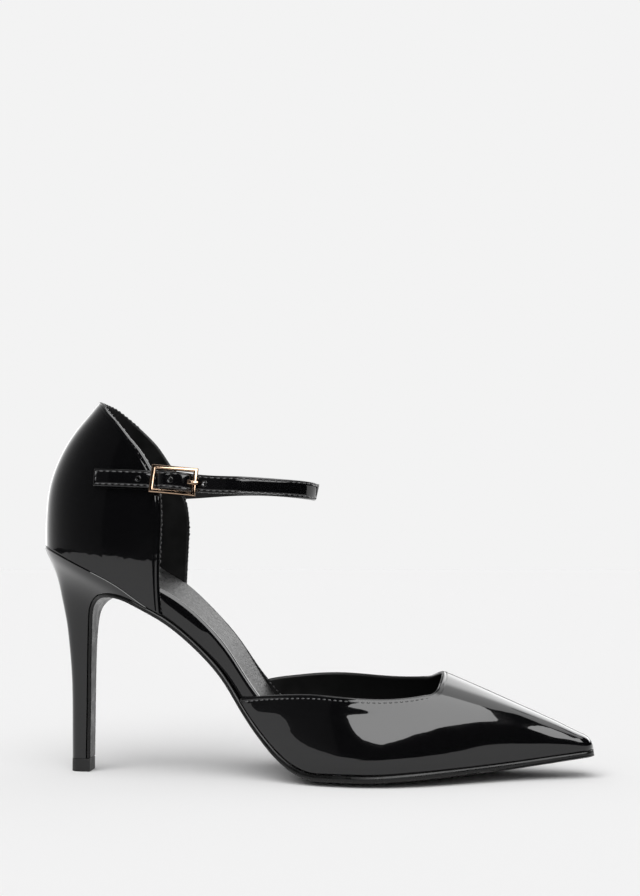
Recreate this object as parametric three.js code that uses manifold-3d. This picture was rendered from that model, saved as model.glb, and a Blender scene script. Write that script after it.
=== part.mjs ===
// Pointed court shoe with a closed heel counter, a covered stiletto heel and a buckled ankle strap.
// One right shoe, standing empty on its top piece and forefoot. Millimetres, +Z up.
// The pieces are drawn with X from the back of the heel towards the toe, -Y on the lateral side
// and Z from the floor, and the whole shoe is then centred over its own box.
import * as THREE from 'three';
import { mergeVertices } from 'three/addons/utils/BufferGeometryUtils.js';
import Module from 'manifold-3d';

const wasm = await Module();
wasm.setup();

// Driving dimensions of the last
const SHOE_LENGTH = 241.5;
const BALL_WIDTH = 73;
const SEAT_WIDTH = 51;
const HEEL_HEIGHT = 99.4;
const BACK_HEIGHT = 64.7;
const INSTEP_HEIGHT = 44.7;

// Walls, soles and clearances
const CLEARANCE = 0.3;
const UPPER_WALL = 2;
const WAIST_STEP = 1;
const WAIST_WALL = 1.4;
const FEATHER_TUCK = 0.9;
const TUCK_HEIGHT = 7;
const OUTSOLE_THICKNESS = 2.7;
const SOLE_EDGE_RISE = 2.1;
const INSOLE_INSET = 2.85;
const INSOLE_BELOW_RIM = 0.7;
const INSOLE_DISH = 0.8;

// Heel stem and top piece
const STEM_LENGTH = 7.2;
const STEM_WIDTH = 9.2;
const STEM_BACK = 13.6;
const TOP_PIECE_HEIGHT = 5.6;

// Ankle strap and buckle
const STRAP_WIDTH = 7.6;
const STRAP_THICKNESS = 1.4;
const STRAP_HEIGHT = 127;
const STRAP_REACH = 122.4;
const STRAP_SEWN_LENGTH = 24;
const FREE_END_LENGTH = 35.2;
const HOLE_DIAMETER = 1.5;
const HOLE_PITCH = 7.2;
const HOLE_COUNT = 5;
const FRAME_LENGTH = 20.2;
const FRAME_HEIGHT = 12.3;
const FRAME_BAR = 1.9;
const FRAME_THICKNESS = 1.4;
const FRAME_BEVEL = 0.35;
const CENTRE_BAR_DIAMETER = 1.2;
const CENTRE_BAR_DROP = 1.5;
const PRONG_WIDTH = 1.9;
const PRONG_THICKNESS = 1.1;
const CHAPE_THICKNESS = 0.9;
const CHAPE_WIDTH = 6.4;
const CHAPE_LENGTH = 20;
const BUCKLE_PLAY = 0.55;

const LATERAL = -1;
const MEDIAL = 1;

// A table of sections: a row for each, with named columns.
const table = (columns, rows) => ({ columns, rows });
const column = (data, name, scale = 1) => {
  const index = data.columns.indexOf(name);
  return data.rows.map((row) => row[index] * scale);
};

// Smooth line through the rows of a table (a natural cubic spline), straight past its ends.
function smooth(xs, ys) {
  const last = xs.length - 1;
  const slope = (i) => (ys[i + 1] - ys[i]) / (xs[i + 1] - xs[i]);
  const bend = new Array(last + 1).fill(0);
  const ratio = new Array(last + 1).fill(0);
  for (let i = 1; i < last; i++) {
    const before = xs[i] - xs[i - 1];
    const after = xs[i + 1] - xs[i];
    const pivot = before * ratio[i - 1] + 2 * (before + after);
    ratio[i] = -after / pivot;
    bend[i] = (6 * (slope(i) - slope(i - 1)) - before * bend[i - 1]) / pivot;
  }
  for (let i = last - 1; i > 0; i--) bend[i] += ratio[i] * bend[i + 1];
  const inside = (x) => {
    let i = 0;
    while (i < last - 1 && x > xs[i + 1]) i++;
    const span = xs[i + 1] - xs[i];
    const a = (xs[i + 1] - x) / span;
    const b = 1 - a;
    const cubic = (a ** 3 - a) * bend[i] + (b ** 3 - b) * bend[i + 1];
    return a * ys[i] + b * ys[i + 1] + cubic * span * span / 6;
  };
  const step = (xs[last] - xs[0]) * 1e-4;
  return (x) => {
    if (x < xs[0]) return ys[0] + (x - xs[0]) * (inside(xs[0] + step) - ys[0]) / step;
    if (x > xs[last]) return ys[last] + (x - xs[last]) * (ys[last] - inside(xs[last] - step)) / step;
    return inside(x);
  };
}

// Where f crosses zero between two places on either side of it.
function solve(f, low, high) {
  const rising = f(high) > f(low);
  for (let i = 0; i < 50; i++) {
    const middle = (low + high) / 2;
    if ((f(middle) > 0) === rising) high = middle;
    else low = middle;
  }
  return (low + high) / 2;
}

const mix = (a, b, t) => a + (b - a) * t;
const spread = (from, to, count) => Array.from({ length: count }, (_, i) => mix(from, to, i / (count - 1)));

// Last: a row for each section across the foot. x is a share of SHOE_LENGTH, the half widths at the
// feather line are shares of BALL_WIDTH, and ridge, the height of the section's top, is a share of
// INSTEP_HEIGHT. Behind the throat the ridge only sets how far the side walls lean in.
const LAST = table(['x', 'lateral', 'medial', 'ridge'], [
  [0.190, 0.323, 0.321, 2.95],
  [0.236, 0.312, 0.307, 2.62],
  [0.286, 0.284, 0.278, 2.30],
  [0.327, 0.271, 0.266, 2.05],
  [0.364, 0.282, 0.278, 1.86],
  [0.414, 0.330, 0.332, 1.68],
  [0.464, 0.400, 0.410, 1.54],
  [0.518, 0.464, 0.478, 1.42],
  [0.571, 0.499, 0.501, 1.31],
  [0.621, 0.499, 0.485, 1.215],
  [0.683, 0.462, 0.444, 1.105],
  [0.734, 0.396, 0.384, 1.000],
  [0.775, 0.333, 0.331, 0.908],
  [0.828, 0.250, 0.264, 0.783],
  [0.897, 0.162, 0.200, 0.617],
  [0.952, 0.110, 0.156, 0.480],
  [0.982, 0.085, 0.131, 0.404],
  [0.9935, 0.070, 0.118, 0.369],
  [1.000, 0.046, 0.096, 0.325],
]);
const lastX = column(LAST, 'x', SHOE_LENGTH);
const lateralWidth = smooth(lastX, column(LAST, 'lateral', BALL_WIDTH));
const medialWidth = smooth(lastX, column(LAST, 'medial', BALL_WIDTH));
const ridgeHeight = smooth(lastX, column(LAST, 'ridge', INSTEP_HEIGHT));
const LAST_POWER = 2.15;

// Sole: a row for each section along its underside, from the toe, over the arch and down the heel
// breast. x is a share of SHOE_LENGTH, z of HEEL_HEIGHT, thick of OUTSOLE_THICKNESS and rise, how far
// the edges curl up, of SOLE_EDGE_RISE.
const SOLE = table(['x', 'z', 'thick', 'rise'], [
  [1.000, 0.0910, 0.70, 0.45],
  [0.936, 0.0690, 0.74, 0.60],
  [0.865, 0.0465, 0.80, 0.72],
  [0.795, 0.0290, 0.88, 0.88],
  [0.725, 0.0165, 0.95, 0.98],
  [0.660, 0.0065, 1.00, 1.00],
  [0.605, 0.0000, 1.00, 1.00],
  [0.560, 0.0000, 1.00, 1.00],
  [0.515, 0.0000, 0.96, 1.00],
  [0.487, 0.0150, 0.92, 0.92],
  [0.452, 0.0680, 0.86, 0.62],
  [0.415, 0.1640, 0.80, 0.28],
  [0.379, 0.2850, 0.76, 0.08],
  [0.342, 0.4240, 0.74, 0.00],
  [0.305, 0.5250, 0.74, 0.00],
  [0.269, 0.6060, 0.74, 0.00],
  [0.234, 0.6700, 0.74, 0.00],
  [0.198, 0.7190, 0.74, 0.00],
  [0.162, 0.7590, 0.72, 0.00],
  [0.137, 0.7690, 0.70, 0.00],
  [0.1145, 0.7590, 0.68, 0.00],
  [0.1005, 0.7230, 0.66, 0.00],
  [0.0950, 0.6600, 0.66, 0.00],
  [0.0930, 0.5200, 0.66, 0.00],
  [0.0930, 0.3000, 0.66, 0.00],
  [0.0930, 0.1500, 0.66, 0.00],
  [0.0930, 0.0594, 0.66, 0.00],
]);
const soleX = column(SOLE, 'x', SHOE_LENGTH);
const soleZ = column(SOLE, 'z', HEEL_HEIGHT);
const soleRun = soleX.map((_, i) => i).map((i) => soleX.slice(1, i + 1)
  .reduce((sum, x, k) => sum + Math.hypot(x - soleX[k], soleZ[k + 1] - soleZ[k]), 0));
const soleLength = soleRun[soleRun.length - 1];
const soleUnderX = smooth(soleRun, soleX);
const soleLine = smooth(soleRun, soleZ);
const soleUnderZ = (run) => Math.max(0, soleLine(run));
const soleThick = smooth(soleRun, column(SOLE, 'thick', OUTSOLE_THICKNESS));
const soleRise = smooth(soleRun, column(SOLE, 'rise', SOLE_EDGE_RISE));

// A place on the sole's middle line, lifted from its underside along the normal.
function soleAt(run, lift) {
  const step = soleLength * 1e-4;
  const dx = soleUnderX(run + step) - soleUnderX(run - step);
  const dz = soleUnderZ(run + step) - soleUnderZ(run - step);
  const size = Math.hypot(dx, dz);
  return { x: soleUnderX(run) + lift * dz / size, z: soleUnderZ(run) - lift * dx / size };
}

// Seat line: where the counter meets the heel, seen from the side. x is a share of SHOE_LENGTH and z of
// HEEL_HEIGHT. Further forward the feather line follows the top of the outsole's edge.
const SEAT_LINE = table(['x', 'z'], [
  [0.000, 1.000],
  [0.035, 0.965],
  [0.080, 0.915],
  [0.124, 0.864],
  [0.160, 0.815],
]);
const FEATHER_START = 0.208 * SHOE_LENGTH;
const FEATHER_STEPS = 44;
const featherRuns = spread(0, solve((run) => soleAt(run, 0).x - FEATHER_START, 0, soleRun[18]), FEATHER_STEPS);
const featherRows = featherRuns.reverse().map((run) => {
  const edge = soleAt(run, soleThick(run) + soleRise(run) + CLEARANCE);
  return [edge.x, edge.z];
});
const feather = smooth(
  [...column(SEAT_LINE, 'x', SHOE_LENGTH), ...featherRows.map((row) => row[0])],
  [...column(SEAT_LINE, 'z', HEEL_HEIGHT), ...featherRows.map((row) => row[1])],
);

// Half section of the last at x: y and height above the feather line for an angle from 0 at the
// feather line to a quarter turn at the ridge. The wall's foot tucks in over the feather line of the
// forepart.
const TUCK_START = 0.37 * SHOE_LENGTH;
const TUCK_RUN = 0.08 * SHOE_LENGTH;
const tuck = (x) => FEATHER_TUCK * THREE.MathUtils.smoothstep(x, TUCK_START, TUCK_START + TUCK_RUN);
function lastPoint(x, side, angle, inset) {
  const half = (lateralWidth(x) + medialWidth(x)) / 2 - inset;
  const middle = (medialWidth(x) - lateralWidth(x)) / 2;
  const rise = ridgeHeight(x) - feather(x) - inset;
  const height = rise * Math.sin(angle) ** (2 / LAST_POWER);
  const foot = Math.max(0, 1 - height / TUCK_HEIGHT);
  const y = half * Math.cos(angle) ** (2 / LAST_POWER) - tuck(x) * foot ** 2;
  return new THREE.Vector3(x, middle + side * y, feather(x) + height);
}

// The angle at which the half section reaches a height above the floor.
function lastAngle(x, z, inset) {
  const share = (z - feather(x)) / (ridgeHeight(x) - feather(x) - inset);
  return Math.asin(Math.min(1, Math.max(0, share)) ** (LAST_POWER / 2));
}

// Counter: a row for each level. level is a share of BACK_HEIGHT above HEEL_HEIGHT, back the rearmost
// x and round the length of the rounded back, as shares of SHOE_LENGTH, half the half width as a share
// of SEAT_WIDTH, and narrow how much of it is lost at the front edge.
const COUNTER = table(['level', 'back', 'round', 'half', 'narrow'], [
  [-0.55, 0.0000, 0.182, 0.492, 0.085],
  [0.00, 0.0000, 0.180, 0.500, 0.085],
  [0.13, 0.0005, 0.176, 0.492, 0.070],
  [0.26, 0.0020, 0.172, 0.475, 0.055],
  [0.39, 0.0060, 0.166, 0.452, 0.040],
  [0.53, 0.0165, 0.160, 0.424, 0.030],
  [0.67, 0.0335, 0.152, 0.394, 0.020],
  [0.80, 0.0560, 0.146, 0.364, 0.010],
  [0.90, 0.0780, 0.140, 0.344, 0.005],
  [1.00, 0.1000, 0.134, 0.326, 0.000],
]);
const counterZ = column(COUNTER, 'level', BACK_HEIGHT).map((z) => z + HEEL_HEIGHT);
const counterBack = smooth(counterZ, column(COUNTER, 'back', SHOE_LENGTH));
const counterRound = smooth(counterZ, column(COUNTER, 'round', SHOE_LENGTH));
const counterHalf = smooth(counterZ, column(COUNTER, 'half', SEAT_WIDTH));
const counterNarrow = smooth(counterZ, column(COUNTER, 'narrow'));

// Front edges of the counter seen from the side: level as above, x as a share of SHOE_LENGTH.
const FRONT_EDGE = table(['level', 'lateral', 'medial'], [
  [-0.55, 0.2395, 0.2450],
  [-0.30, 0.2340, 0.2480],
  [0.00, 0.2340, 0.2510],
  [0.20, 0.2350, 0.2510],
  [0.34, 0.2325, 0.2455],
  [0.55, 0.2240, 0.2360],
  [0.78, 0.2080, 0.2200],
  [1.00, 0.1900, 0.2000],
]);
const edgeZ = column(FRONT_EDGE, 'level', BACK_HEIGHT).map((z) => z + HEEL_HEIGHT);
const frontEdge = {
  [LATERAL]: smooth(edgeZ, column(FRONT_EDGE, 'lateral', SHOE_LENGTH)),
  [MEDIAL]: smooth(edgeZ, column(FRONT_EDGE, 'medial', SHOE_LENGTH)),
};

// Toplines of the counter seen from the side: x as a share of SHOE_LENGTH, the rest as levels.
const COUNTER_TOPLINE = table(['x', 'lateral', 'medial'], [
  [0.100, 1.000, 1.000],
  [0.112, 0.966, 0.980],
  [0.128, 0.905, 0.935],
  [0.154, 0.806, 0.852],
  [0.175, 0.714, 0.777],
  [0.195, 0.628, 0.694],
  [0.212, 0.530, 0.598],
  [0.226, 0.425, 0.505],
  [0.2335, 0.330, 0.430],
  [0.246, 0.120, 0.310],
]);
const toplineX = column(COUNTER_TOPLINE, 'x', SHOE_LENGTH);
const counterTopline = {
  [LATERAL]: smooth(toplineX, column(COUNTER_TOPLINE, 'lateral', BACK_HEIGHT).map((z) => z + HEEL_HEIGHT)),
  [MEDIAL]: smooth(toplineX, column(COUNTER_TOPLINE, 'medial', BACK_HEIGHT).map((z) => z + HEEL_HEIGHT)),
};

// Half width of the counter at x and z. Its level sections are noses that run out straight.
function counterWidth(x, z, side, inset) {
  const run = Math.max(0, x - counterBack(z) - inset);
  const nose = Math.min(1, run / (counterRound(z) - inset));
  const lost = counterNarrow(z) * Math.min(1.2, run / (frontEdge[side](z) - counterBack(z))) ** 3;
  return (counterHalf(z) - inset) * Math.sqrt(1 - (1 - nose) ** 3) * (1 - lost);
}

// A place on the counter: around is 0 at the back seam and 1 at the front edge.
function counterPoint(around, z, side, inset) {
  const back = counterBack(z) + inset;
  const x = back + around * around * (frontEdge[side](z) - back);
  return new THREE.Vector3(x, side * counterWidth(x, z, side, inset), z);
}
const seatLevel = (around, side) => solve(
  (z) => z - feather(counterPoint(around, z, side, 0).x), 0.5 * HEEL_HEIGHT, 1.05 * HEEL_HEIGHT);
const toplineLevel = (around, side) => solve(
  (z) => z - counterTopline[side](counterPoint(around, z, side, 0).x),
  HEEL_HEIGHT, HEEL_HEIGHT + 1.05 * BACK_HEIGHT);

// Closed mesh through rings of equally many points. Each end is capped with strips between the
// points that lie opposite each other, counted from the ring's two ends.
function loft(rings) {
  const size = rings[0].length;
  const points = rings.flat();
  const faces = [];
  for (let r = 0; r < rings.length - 1; r++) {
    for (let i = 0; i < size; i++) {
      const a = r * size + i;
      const b = r * size + (i + 1) % size;
      faces.push([a, b, b + size], [a, b + size, a + size]);
    }
  }
  const cap = (offset, flip) => {
    for (let i = 0; i < size - 2 - i; i++) {
      const [a, b, c, d] = [i, i + 1, size - 2 - i, size - 1 - i].map((k) => k + offset);
      const strip = b === c ? [[a, b, d]] : [[a, b, c], [a, c, d]];
      strip.forEach(([p, q, t]) => faces.push(flip ? [p, t, q] : [p, q, t]));
    }
  };
  cap(0, true);
  cap((rings.length - 1) * size, false);
  return closedGeometry(points, faces);
}

// Geometry with its faces turned outwards.
function closedGeometry(points, faces) {
  const volume = faces.reduce((sum, [a, b, c]) => sum + points[a].dot(points[b].clone().cross(points[c])), 0);
  const geometry = new THREE.BufferGeometry().setFromPoints(points);
  geometry.setIndex(faces.flatMap(([a, b, c]) => (volume < 0 ? [a, c, b] : [a, b, c])));
  return geometry;
}

// Side-view outline pushed across the shoe from y = from to y = to.
function sideExtrusion(outline, from, to) {
  const isCorner = ([x, z], i) => {
    const [px, pz] = outline[(i + outline.length - 1) % outline.length];
    const [nx, nz] = outline[(i + 1) % outline.length];
    return Math.abs((x - px) * (nz - z) - (z - pz) * (nx - x)) > 1e-7;
  };
  const corners = outline.filter(isCorner);
  const size = corners.length;
  const points = [from, to].flatMap((y) => corners.map(([x, z]) => new THREE.Vector3(x, y, z)));
  const flat = corners.map(([x, z]) => new THREE.Vector2(x, z));
  const ears = THREE.ShapeUtils.triangulateShape(flat, []);
  const turn = THREE.ShapeUtils.isClockWise(flat) ? 1 : -1;
  const faces = [];
  ears.forEach(([a, b, c]) => faces.push([a, c, b], [a + size, b + size, c + size]));
  corners.forEach((_, i) => {
    const j = (i + 1) % size;
    const side = [[i, j, j + size], [i, j + size, i + size]];
    side.forEach(([a, b, c]) => faces.push(turn < 0 ? [a, b, c] : [a, c, b]));
  });
  return closedGeometry(points, faces);
}

function solid(geometry) {
  const clean = geometry.clone();
  clean.deleteAttribute('normal');
  clean.deleteAttribute('uv');
  const merged = mergeVertices(clean, 1e-5);
  return new wasm.Manifold(new wasm.Mesh({
    numProp: 3,
    vertProperties: new Float32Array(merged.attributes.position.array),
    triVerts: new Uint32Array(merged.index.array),
  }));
}

function geometryOf(body) {
  const mesh = body.getMesh();
  const geometry = new THREE.BufferGeometry();
  geometry.setAttribute('position', new THREE.BufferAttribute(new Float32Array(mesh.vertProperties), 3));
  geometry.setIndex(Array.from(mesh.triVerts));
  return geometry;
}

// Vamp: the whole forepart of the last as a shell, open underneath and cut along its topline.
const VAMP_START = 0.355 * SHOE_LENGTH;
const VAMP_STATIONS = 30;
const HALF_SECTION_STEPS = 11;
function forepart(inset, drop) {
  const end = SHOE_LENGTH - inset * 1.4;
  const start = VAMP_START - inset;
  const rings = spread(0, 1, VAMP_STATIONS).map((share) => {
    const x = mix(start, end, 1 - (1 - share) ** 1.35);
    const angles = spread(0, Math.PI / 2, HALF_SECTION_STEPS);
    const lateral = angles.map((angle) => lastPoint(x, LATERAL, angle, inset));
    const medial = angles.slice(0, -1).map((angle) => lastPoint(x, MEDIAL, angle, inset)).reverse();
    if (drop === 0) return [...lateral, ...medial];
    const [first, last] = [lateral[0], medial[medial.length - 1]].map((p) => p.clone().setZ(p.z - drop));
    return [first, ...lateral, ...medial, last];
  });
  return solid(loft(rings));
}

// Toplines of the vamp seen from the side: x as a share of SHOE_LENGTH, heights of INSTEP_HEIGHT.
const VAMP_TOPLINE = table(['x', 'lateral', 'medial'], [
  [0.330, 0.740, 0.790],
  [0.375, 0.770, 0.822],
  [0.405, 0.792, 0.864],
  [0.455, 0.817, 0.902],
  [0.506, 0.828, 0.925],
  [0.550, 0.816, 0.928],
  [0.607, 0.797, 0.912],
  [0.660, 0.800, 0.904],
  [0.700, 0.820, 0.915],
]);
const vampTopX = column(VAMP_TOPLINE, 'x', SHOE_LENGTH);
const vampTopline = {
  [LATERAL]: smooth(vampTopX, column(VAMP_TOPLINE, 'lateral', INSTEP_HEIGHT)),
  [MEDIAL]: smooth(vampTopX, column(VAMP_TOPLINE, 'medial', INSTEP_HEIGHT)),
};

// Front edge of the throat, from its corner up to the ridge, for each side.
const THROAT_EDGE = {
  [LATERAL]: [[0.7150, 0.832], [0.7215, 0.855], [0.7265, 0.900], [0.7310, 0.955], [0.7340, 1.000]],
  [MEDIAL]: [[0.7090, 0.920], [0.7170, 0.938], [0.7230, 0.958], [0.7290, 0.980], [0.7340, 1.000]],
};
const TOPLINE_STEPS = 24;
function toplineCutter(side) {
  const far = BALL_WIDTH;
  const top = HEEL_HEIGHT + BACK_HEIGHT;
  const edge = THROAT_EDGE[side].map(([x, z]) => [x * SHOE_LENGTH, z * INSTEP_HEIGHT]);
  const xs = spread(vampTopX[0], vampTopX[vampTopX.length - 1], TOPLINE_STEPS);
  const last = edge[edge.length - 1];
  const outline = [
    ...xs.map((x) => [x, vampTopline[side](x)]),
    ...edge,
    [last[0] + UPPER_WALL, last[1] + 4 * UPPER_WALL],
    [last[0] + UPPER_WALL, top],
    [0, top],
    [0, vampTopline[side](xs[0])],
  ];
  return solid(sideExtrusion(outline, side < 0 ? -far : 0, side < 0 ? 0 : far));
}

// Low walls of the waist: they run from inside the counter to inside the vamp.
// rim is the height of the wall above the feather line as a share of INSTEP_HEIGHT.
const WAIST = table(['x', 'lateral', 'medial'], [
  [0.195, 0.245, 0.320],
  [0.236, 0.256, 0.318],
  [0.286, 0.283, 0.318],
  [0.330, 0.288, 0.310],
  [0.364, 0.292, 0.312],
  [0.410, 0.300, 0.322],
  [0.430, 0.304, 0.326],
]);
const waistX = column(WAIST, 'x', SHOE_LENGTH);
const waistRim = {
  [LATERAL]: smooth(waistX, column(WAIST, 'lateral', INSTEP_HEIGHT)),
  [MEDIAL]: smooth(waistX, column(WAIST, 'medial', INSTEP_HEIGHT)),
};
const WAIST_STATIONS = 16;
const WAIST_LEVELS = 4;
function waistWall(side) {
  const rings = spread(waistX[0], waistX[waistX.length - 1], WAIST_STATIONS).map((x) => {
    const levels = spread(0, 1, WAIST_LEVELS).map((share) => feather(x) + share * waistRim[side](x));
    const face = (inset) => levels.map((z) => lastPoint(x, side, lastAngle(x, z, inset), inset));
    return [...face(WAIST_STEP), ...face(WAIST_STEP + WAIST_WALL).reverse()];
  });
  return solid(loft(rings));
}

// Counter wall: a column of points at each place around the heel, outside and inside.
const COUNTER_COLUMNS = 16;
const COUNTER_LEVELS = 9;
function counterShell() {
  const places = spread(0, 1, COUNTER_COLUMNS);
  const ringAt = (around, side) => {
    const low = seatLevel(around, side);
    const high = toplineLevel(around, side);
    const levels = spread(low, high, COUNTER_LEVELS);
    const outer = levels.map((z) => counterPoint(around, z, side, 0));
    const inner = levels.map((z) => {
      const point = counterPoint(around, z, side, UPPER_WALL);
      return around === 1 ? point.setX(frontEdge[side](z)) : point;
    });
    return [...outer, ...inner.reverse()];
  };
  const lateral = places.map((around) => ringAt(around, LATERAL)).reverse();
  const medial = places.slice(1).map((around) => ringAt(around, MEDIAL));
  return solid(loft([...lateral, ...medial]));
}

function upperGeometry() {
  const vamp = forepart(0, 0).subtract(forepart(UPPER_WALL, INSTEP_HEIGHT))
    .subtract(toplineCutter(LATERAL)).subtract(toplineCutter(MEDIAL));
  const body = vamp.add(waistWall(LATERAL)).add(waistWall(MEDIAL)).add(counterShell());
  return geometryOf(body);
}

// Heel: columns run down from the seat line into the stem. share is how far down, along how much of
// the way to the stem the column has gone lengthwise, and across how much of it sideways.
const FLARE = table(['share', 'along', 'across'], [
  [0.00, 0.000, 0.00],
  [0.035, 0.085, 0.14],
  [0.075, 0.200, 0.36],
  [0.115, 0.310, 0.55],
  [0.165, 0.420, 0.72],
  [0.215, 0.500, 0.83],
  [0.265, 0.575, 0.90],
  [0.360, 0.715, 0.965],
  [0.455, 0.810, 0.985],
  [0.645, 0.935, 1.00],
  [0.820, 0.975, 1.00],
  [1.000, 1.000, 1.00],
]);
const flareAlong = smooth(column(FLARE, 'share'), column(FLARE, 'along'));
const flareAcross = smooth(column(FLARE, 'share'), column(FLARE, 'across'));
const HEEL_FOOT = TOP_PIECE_HEIGHT + CLEARANCE;

// Outline of the stem's foot, drawn past its breast face, which is cut afterwards.
function stemPoint(around, side) {
  const run = around * around * STEM_LENGTH * 1.35;
  const nose = Math.min(1, run / (STEM_LENGTH * 0.85));
  return { x: STEM_BACK + run, y: side * STEM_WIDTH / 2 * Math.sqrt(1 - (1 - nose) ** 3) };
}

function heelPoint(around, share, side) {
  const seat = counterPoint(around, seatLevel(around, side), side, 0);
  const top = seat.z - CLEARANCE;
  const foot = stemPoint(around, side);
  const y = mix(seat.y, foot.y, flareAcross(share));
  return new THREE.Vector3(mix(seat.x, foot.x, flareAlong(share)), y, mix(top, HEEL_FOOT, share));
}

const HEEL_COLUMNS = 15;
const HEEL_SHARES = [0, 0.02, 0.045, 0.075, 0.11, 0.15, 0.2, 0.26, 0.34, 0.45, 0.6, 0.8, 1];
function heelGeometry() {
  const places = spread(0, 1, HEEL_COLUMNS);
  const rings = HEEL_SHARES.map((share) => [
    ...places.map((around) => heelPoint(around, share, LATERAL)).reverse(),
    ...places.slice(1).map((around) => heelPoint(around, share, MEDIAL)),
  ]);
  return geometryOf(solid(loft(rings)).subtract(breastCutter()));
}

// Everything in front of the outsole's breast and arch, which the heel stops short of.
const WEDGE_TIP = 0.197 * SHOE_LENGTH;
const BREAST_STEPS = 34;
function breastCutter() {
  const tipRun = solve((run) => soleAt(run, soleThick(run)).x - WEDGE_TIP, 0, soleRun[19]);
  const face = spread(tipRun, soleLength, BREAST_STEPS).map((run) => {
    const place = soleAt(run, soleThick(run) + CLEARANCE);
    return [place.x, place.z];
  });
  const outline = [
    ...face,
    [face[face.length - 1][0], -HEEL_FOOT],
    [SHOE_LENGTH, -HEEL_FOOT],
    [SHOE_LENGTH, HEEL_HEIGHT * 1.2],
    [WEDGE_TIP, HEEL_HEIGHT * 1.2],
  ];
  return solid(sideExtrusion(outline, -SEAT_WIDTH, SEAT_WIDTH));
}

// Half width of the heel's side at x and z, for the outsole's edge to lie flush with it.
function heelWidthAt(x, z, side) {
  const shareAt = (around) => {
    const top = seatLevel(around, side) - CLEARANCE;
    return Math.max(0, (top - z) / (top - HEEL_FOOT));
  };
  const place = solve((around) => heelPoint(around, shareAt(around), side).x - x, 0, 1);
  return Math.abs(heelPoint(place, shareAt(place), side).y);
}

// Outsole: rings across the sole along its underside, from the toe to the foot of the breast.
const OUTSOLE_STATIONS = 52;
const SOLE_ACROSS = [0, 0.25, 0.5, 0.72, 0.88, 1];
const EDGE_INSET = 0.2;
const curl = (share) => Math.max(0, (share - 0.5) / 0.5) ** 2;
function outsoleGeometry() {
  const tipRun = solve((run) => soleAt(run, 0).x - WEDGE_TIP, 0, soleRun[19]);
  const halfAt = (run, side) => {
    const top = soleAt(run, soleThick(run));
    const last = side < 0 ? lateralWidth(top.x) : medialWidth(top.x);
    if (run < tipRun) return last - EDGE_INSET;
    const heel = heelWidthAt(top.x, top.z, side);
    return Math.min(heel, last) - EDGE_INSET;
  };
  const runs = spread(0, 1, OUTSOLE_STATIONS).map((share) => soleLength * share);
  const rings = runs.map((run) => {
    const thick = soleThick(run);
    const rise = soleRise(run);
    const place = (side, across, lift, pull) => {
      const at = soleAt(run, lift + rise * curl(across));
      return new THREE.Vector3(at.x, side * Math.max(0, halfAt(run, side) * across - pull), at.z);
    };
    const under = (side) => SOLE_ACROSS.map((across, i) => place(side, across, 0, i === 5 ? 0.25 * thick : 0));
    const over = (side) => SOLE_ACROSS.map((across) => place(side, across, thick, 0));
    const rim = (side) => [place(side, 1, 0.3 * thick, 0)];
    return [
      ...under(LATERAL).reverse(), ...under(MEDIAL).slice(1), ...rim(MEDIAL),
      ...over(MEDIAL).reverse(), ...over(LATERAL).slice(1), ...rim(LATERAL),
    ];
  });
  return loft(rings);
}

// Insole: it fills the waist up to just under the rims and thins out over the forepart. deep is its
// depth over the feather line as a share of INSTEP_HEIGHT.
const INSOLE = table(['x', 'deep'], [
  [0.010, 0.105],
  [0.100, 0.165],
  [0.190, 0.228],
  [0.236, 0.246],
  [0.286, 0.272],
  [0.330, 0.277],
  [0.380, 0.276],
  [0.420, 0.236],
  [0.470, 0.160],
  [0.530, 0.098],
  [0.620, 0.075],
  [0.800, 0.062],
  [1.000, 0.055],
]);
const insoleDeep = smooth(column(INSOLE, 'x', SHOE_LENGTH), column(INSOLE, 'deep', INSTEP_HEIGHT));
const INSOLE_STATIONS = 40;
const INSOLE_ACROSS = [0, 0.5, 0.85, 1];
const WAIST_BLEND = 8;
function insoleGeometry() {
  const back = counterBack(HEEL_HEIGHT) + INSOLE_INSET;
  const end = SHOE_LENGTH - INSOLE_INSET * 2.2;
  const runAt = (x) => solve((run) => soleAt(run, soleThick(run)).x - x, 0, soleRun[18]);
  const halfAt = (x, side) => {
    const rear = counterWidth(x, feather(x) + insoleDeep(x), side, INSOLE_INSET);
    const high = lastAngle(x, feather(x) + insoleDeep(x) + INSOLE_BELOW_RIM, INSOLE_INSET);
    const fore = Math.min(...[0, high].map((angle) => Math.abs(lastPoint(x, side, angle, INSOLE_INSET).y)));
    if (x > FEATHER_START) return fore;
    const blend = THREE.MathUtils.smoothstep(x, waistX[0] - WAIST_BLEND, waistX[0] - 2 * WAIST_WALL);
    return mix(rear, Math.min(rear, fore), blend);
  };
  const rings = spread(0, 1, INSOLE_STATIONS).map((share) => {
    const x = mix(back + CLEARANCE, end, share ** 1.3);
    const inWaist = Math.min(Math.max(x, waistX[0]), waistX[waistX.length - 1]);
    const fade = 1 - THREE.MathUtils.smoothstep(x, 0.4 * SHOE_LENGTH, 0.5 * SHOE_LENGTH);
    const tilt = fade * (waistRim[MEDIAL](inWaist) - waistRim[LATERAL](inWaist));
    const onSole = x > FEATHER_START;
    const run = onSole ? runAt(x) : 0;
    const bottom = (across) => {
      if (!onSole) return feather(x);
      return soleAt(run, soleThick(run) + soleRise(run) * curl(across) + CLEARANCE).z + CLEARANCE;
    };
    const top = (side, across) => feather(x) + insoleDeep(x) - INSOLE_DISH * (1 - across ** 2)
      + tilt * (1 + side * across) / 2;
    const line = (side, level) => INSOLE_ACROSS.map(
      (across) => new THREE.Vector3(x, side * halfAt(x, side) * across, level(side, across)));
    const under = (side, across) => bottom(across);
    return [
      ...line(LATERAL, top).reverse(), ...line(MEDIAL, top).slice(1),
      ...line(MEDIAL, under).reverse(), ...line(LATERAL, under).slice(1),
    ];
  });
  return loft(rings);
}

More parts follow.
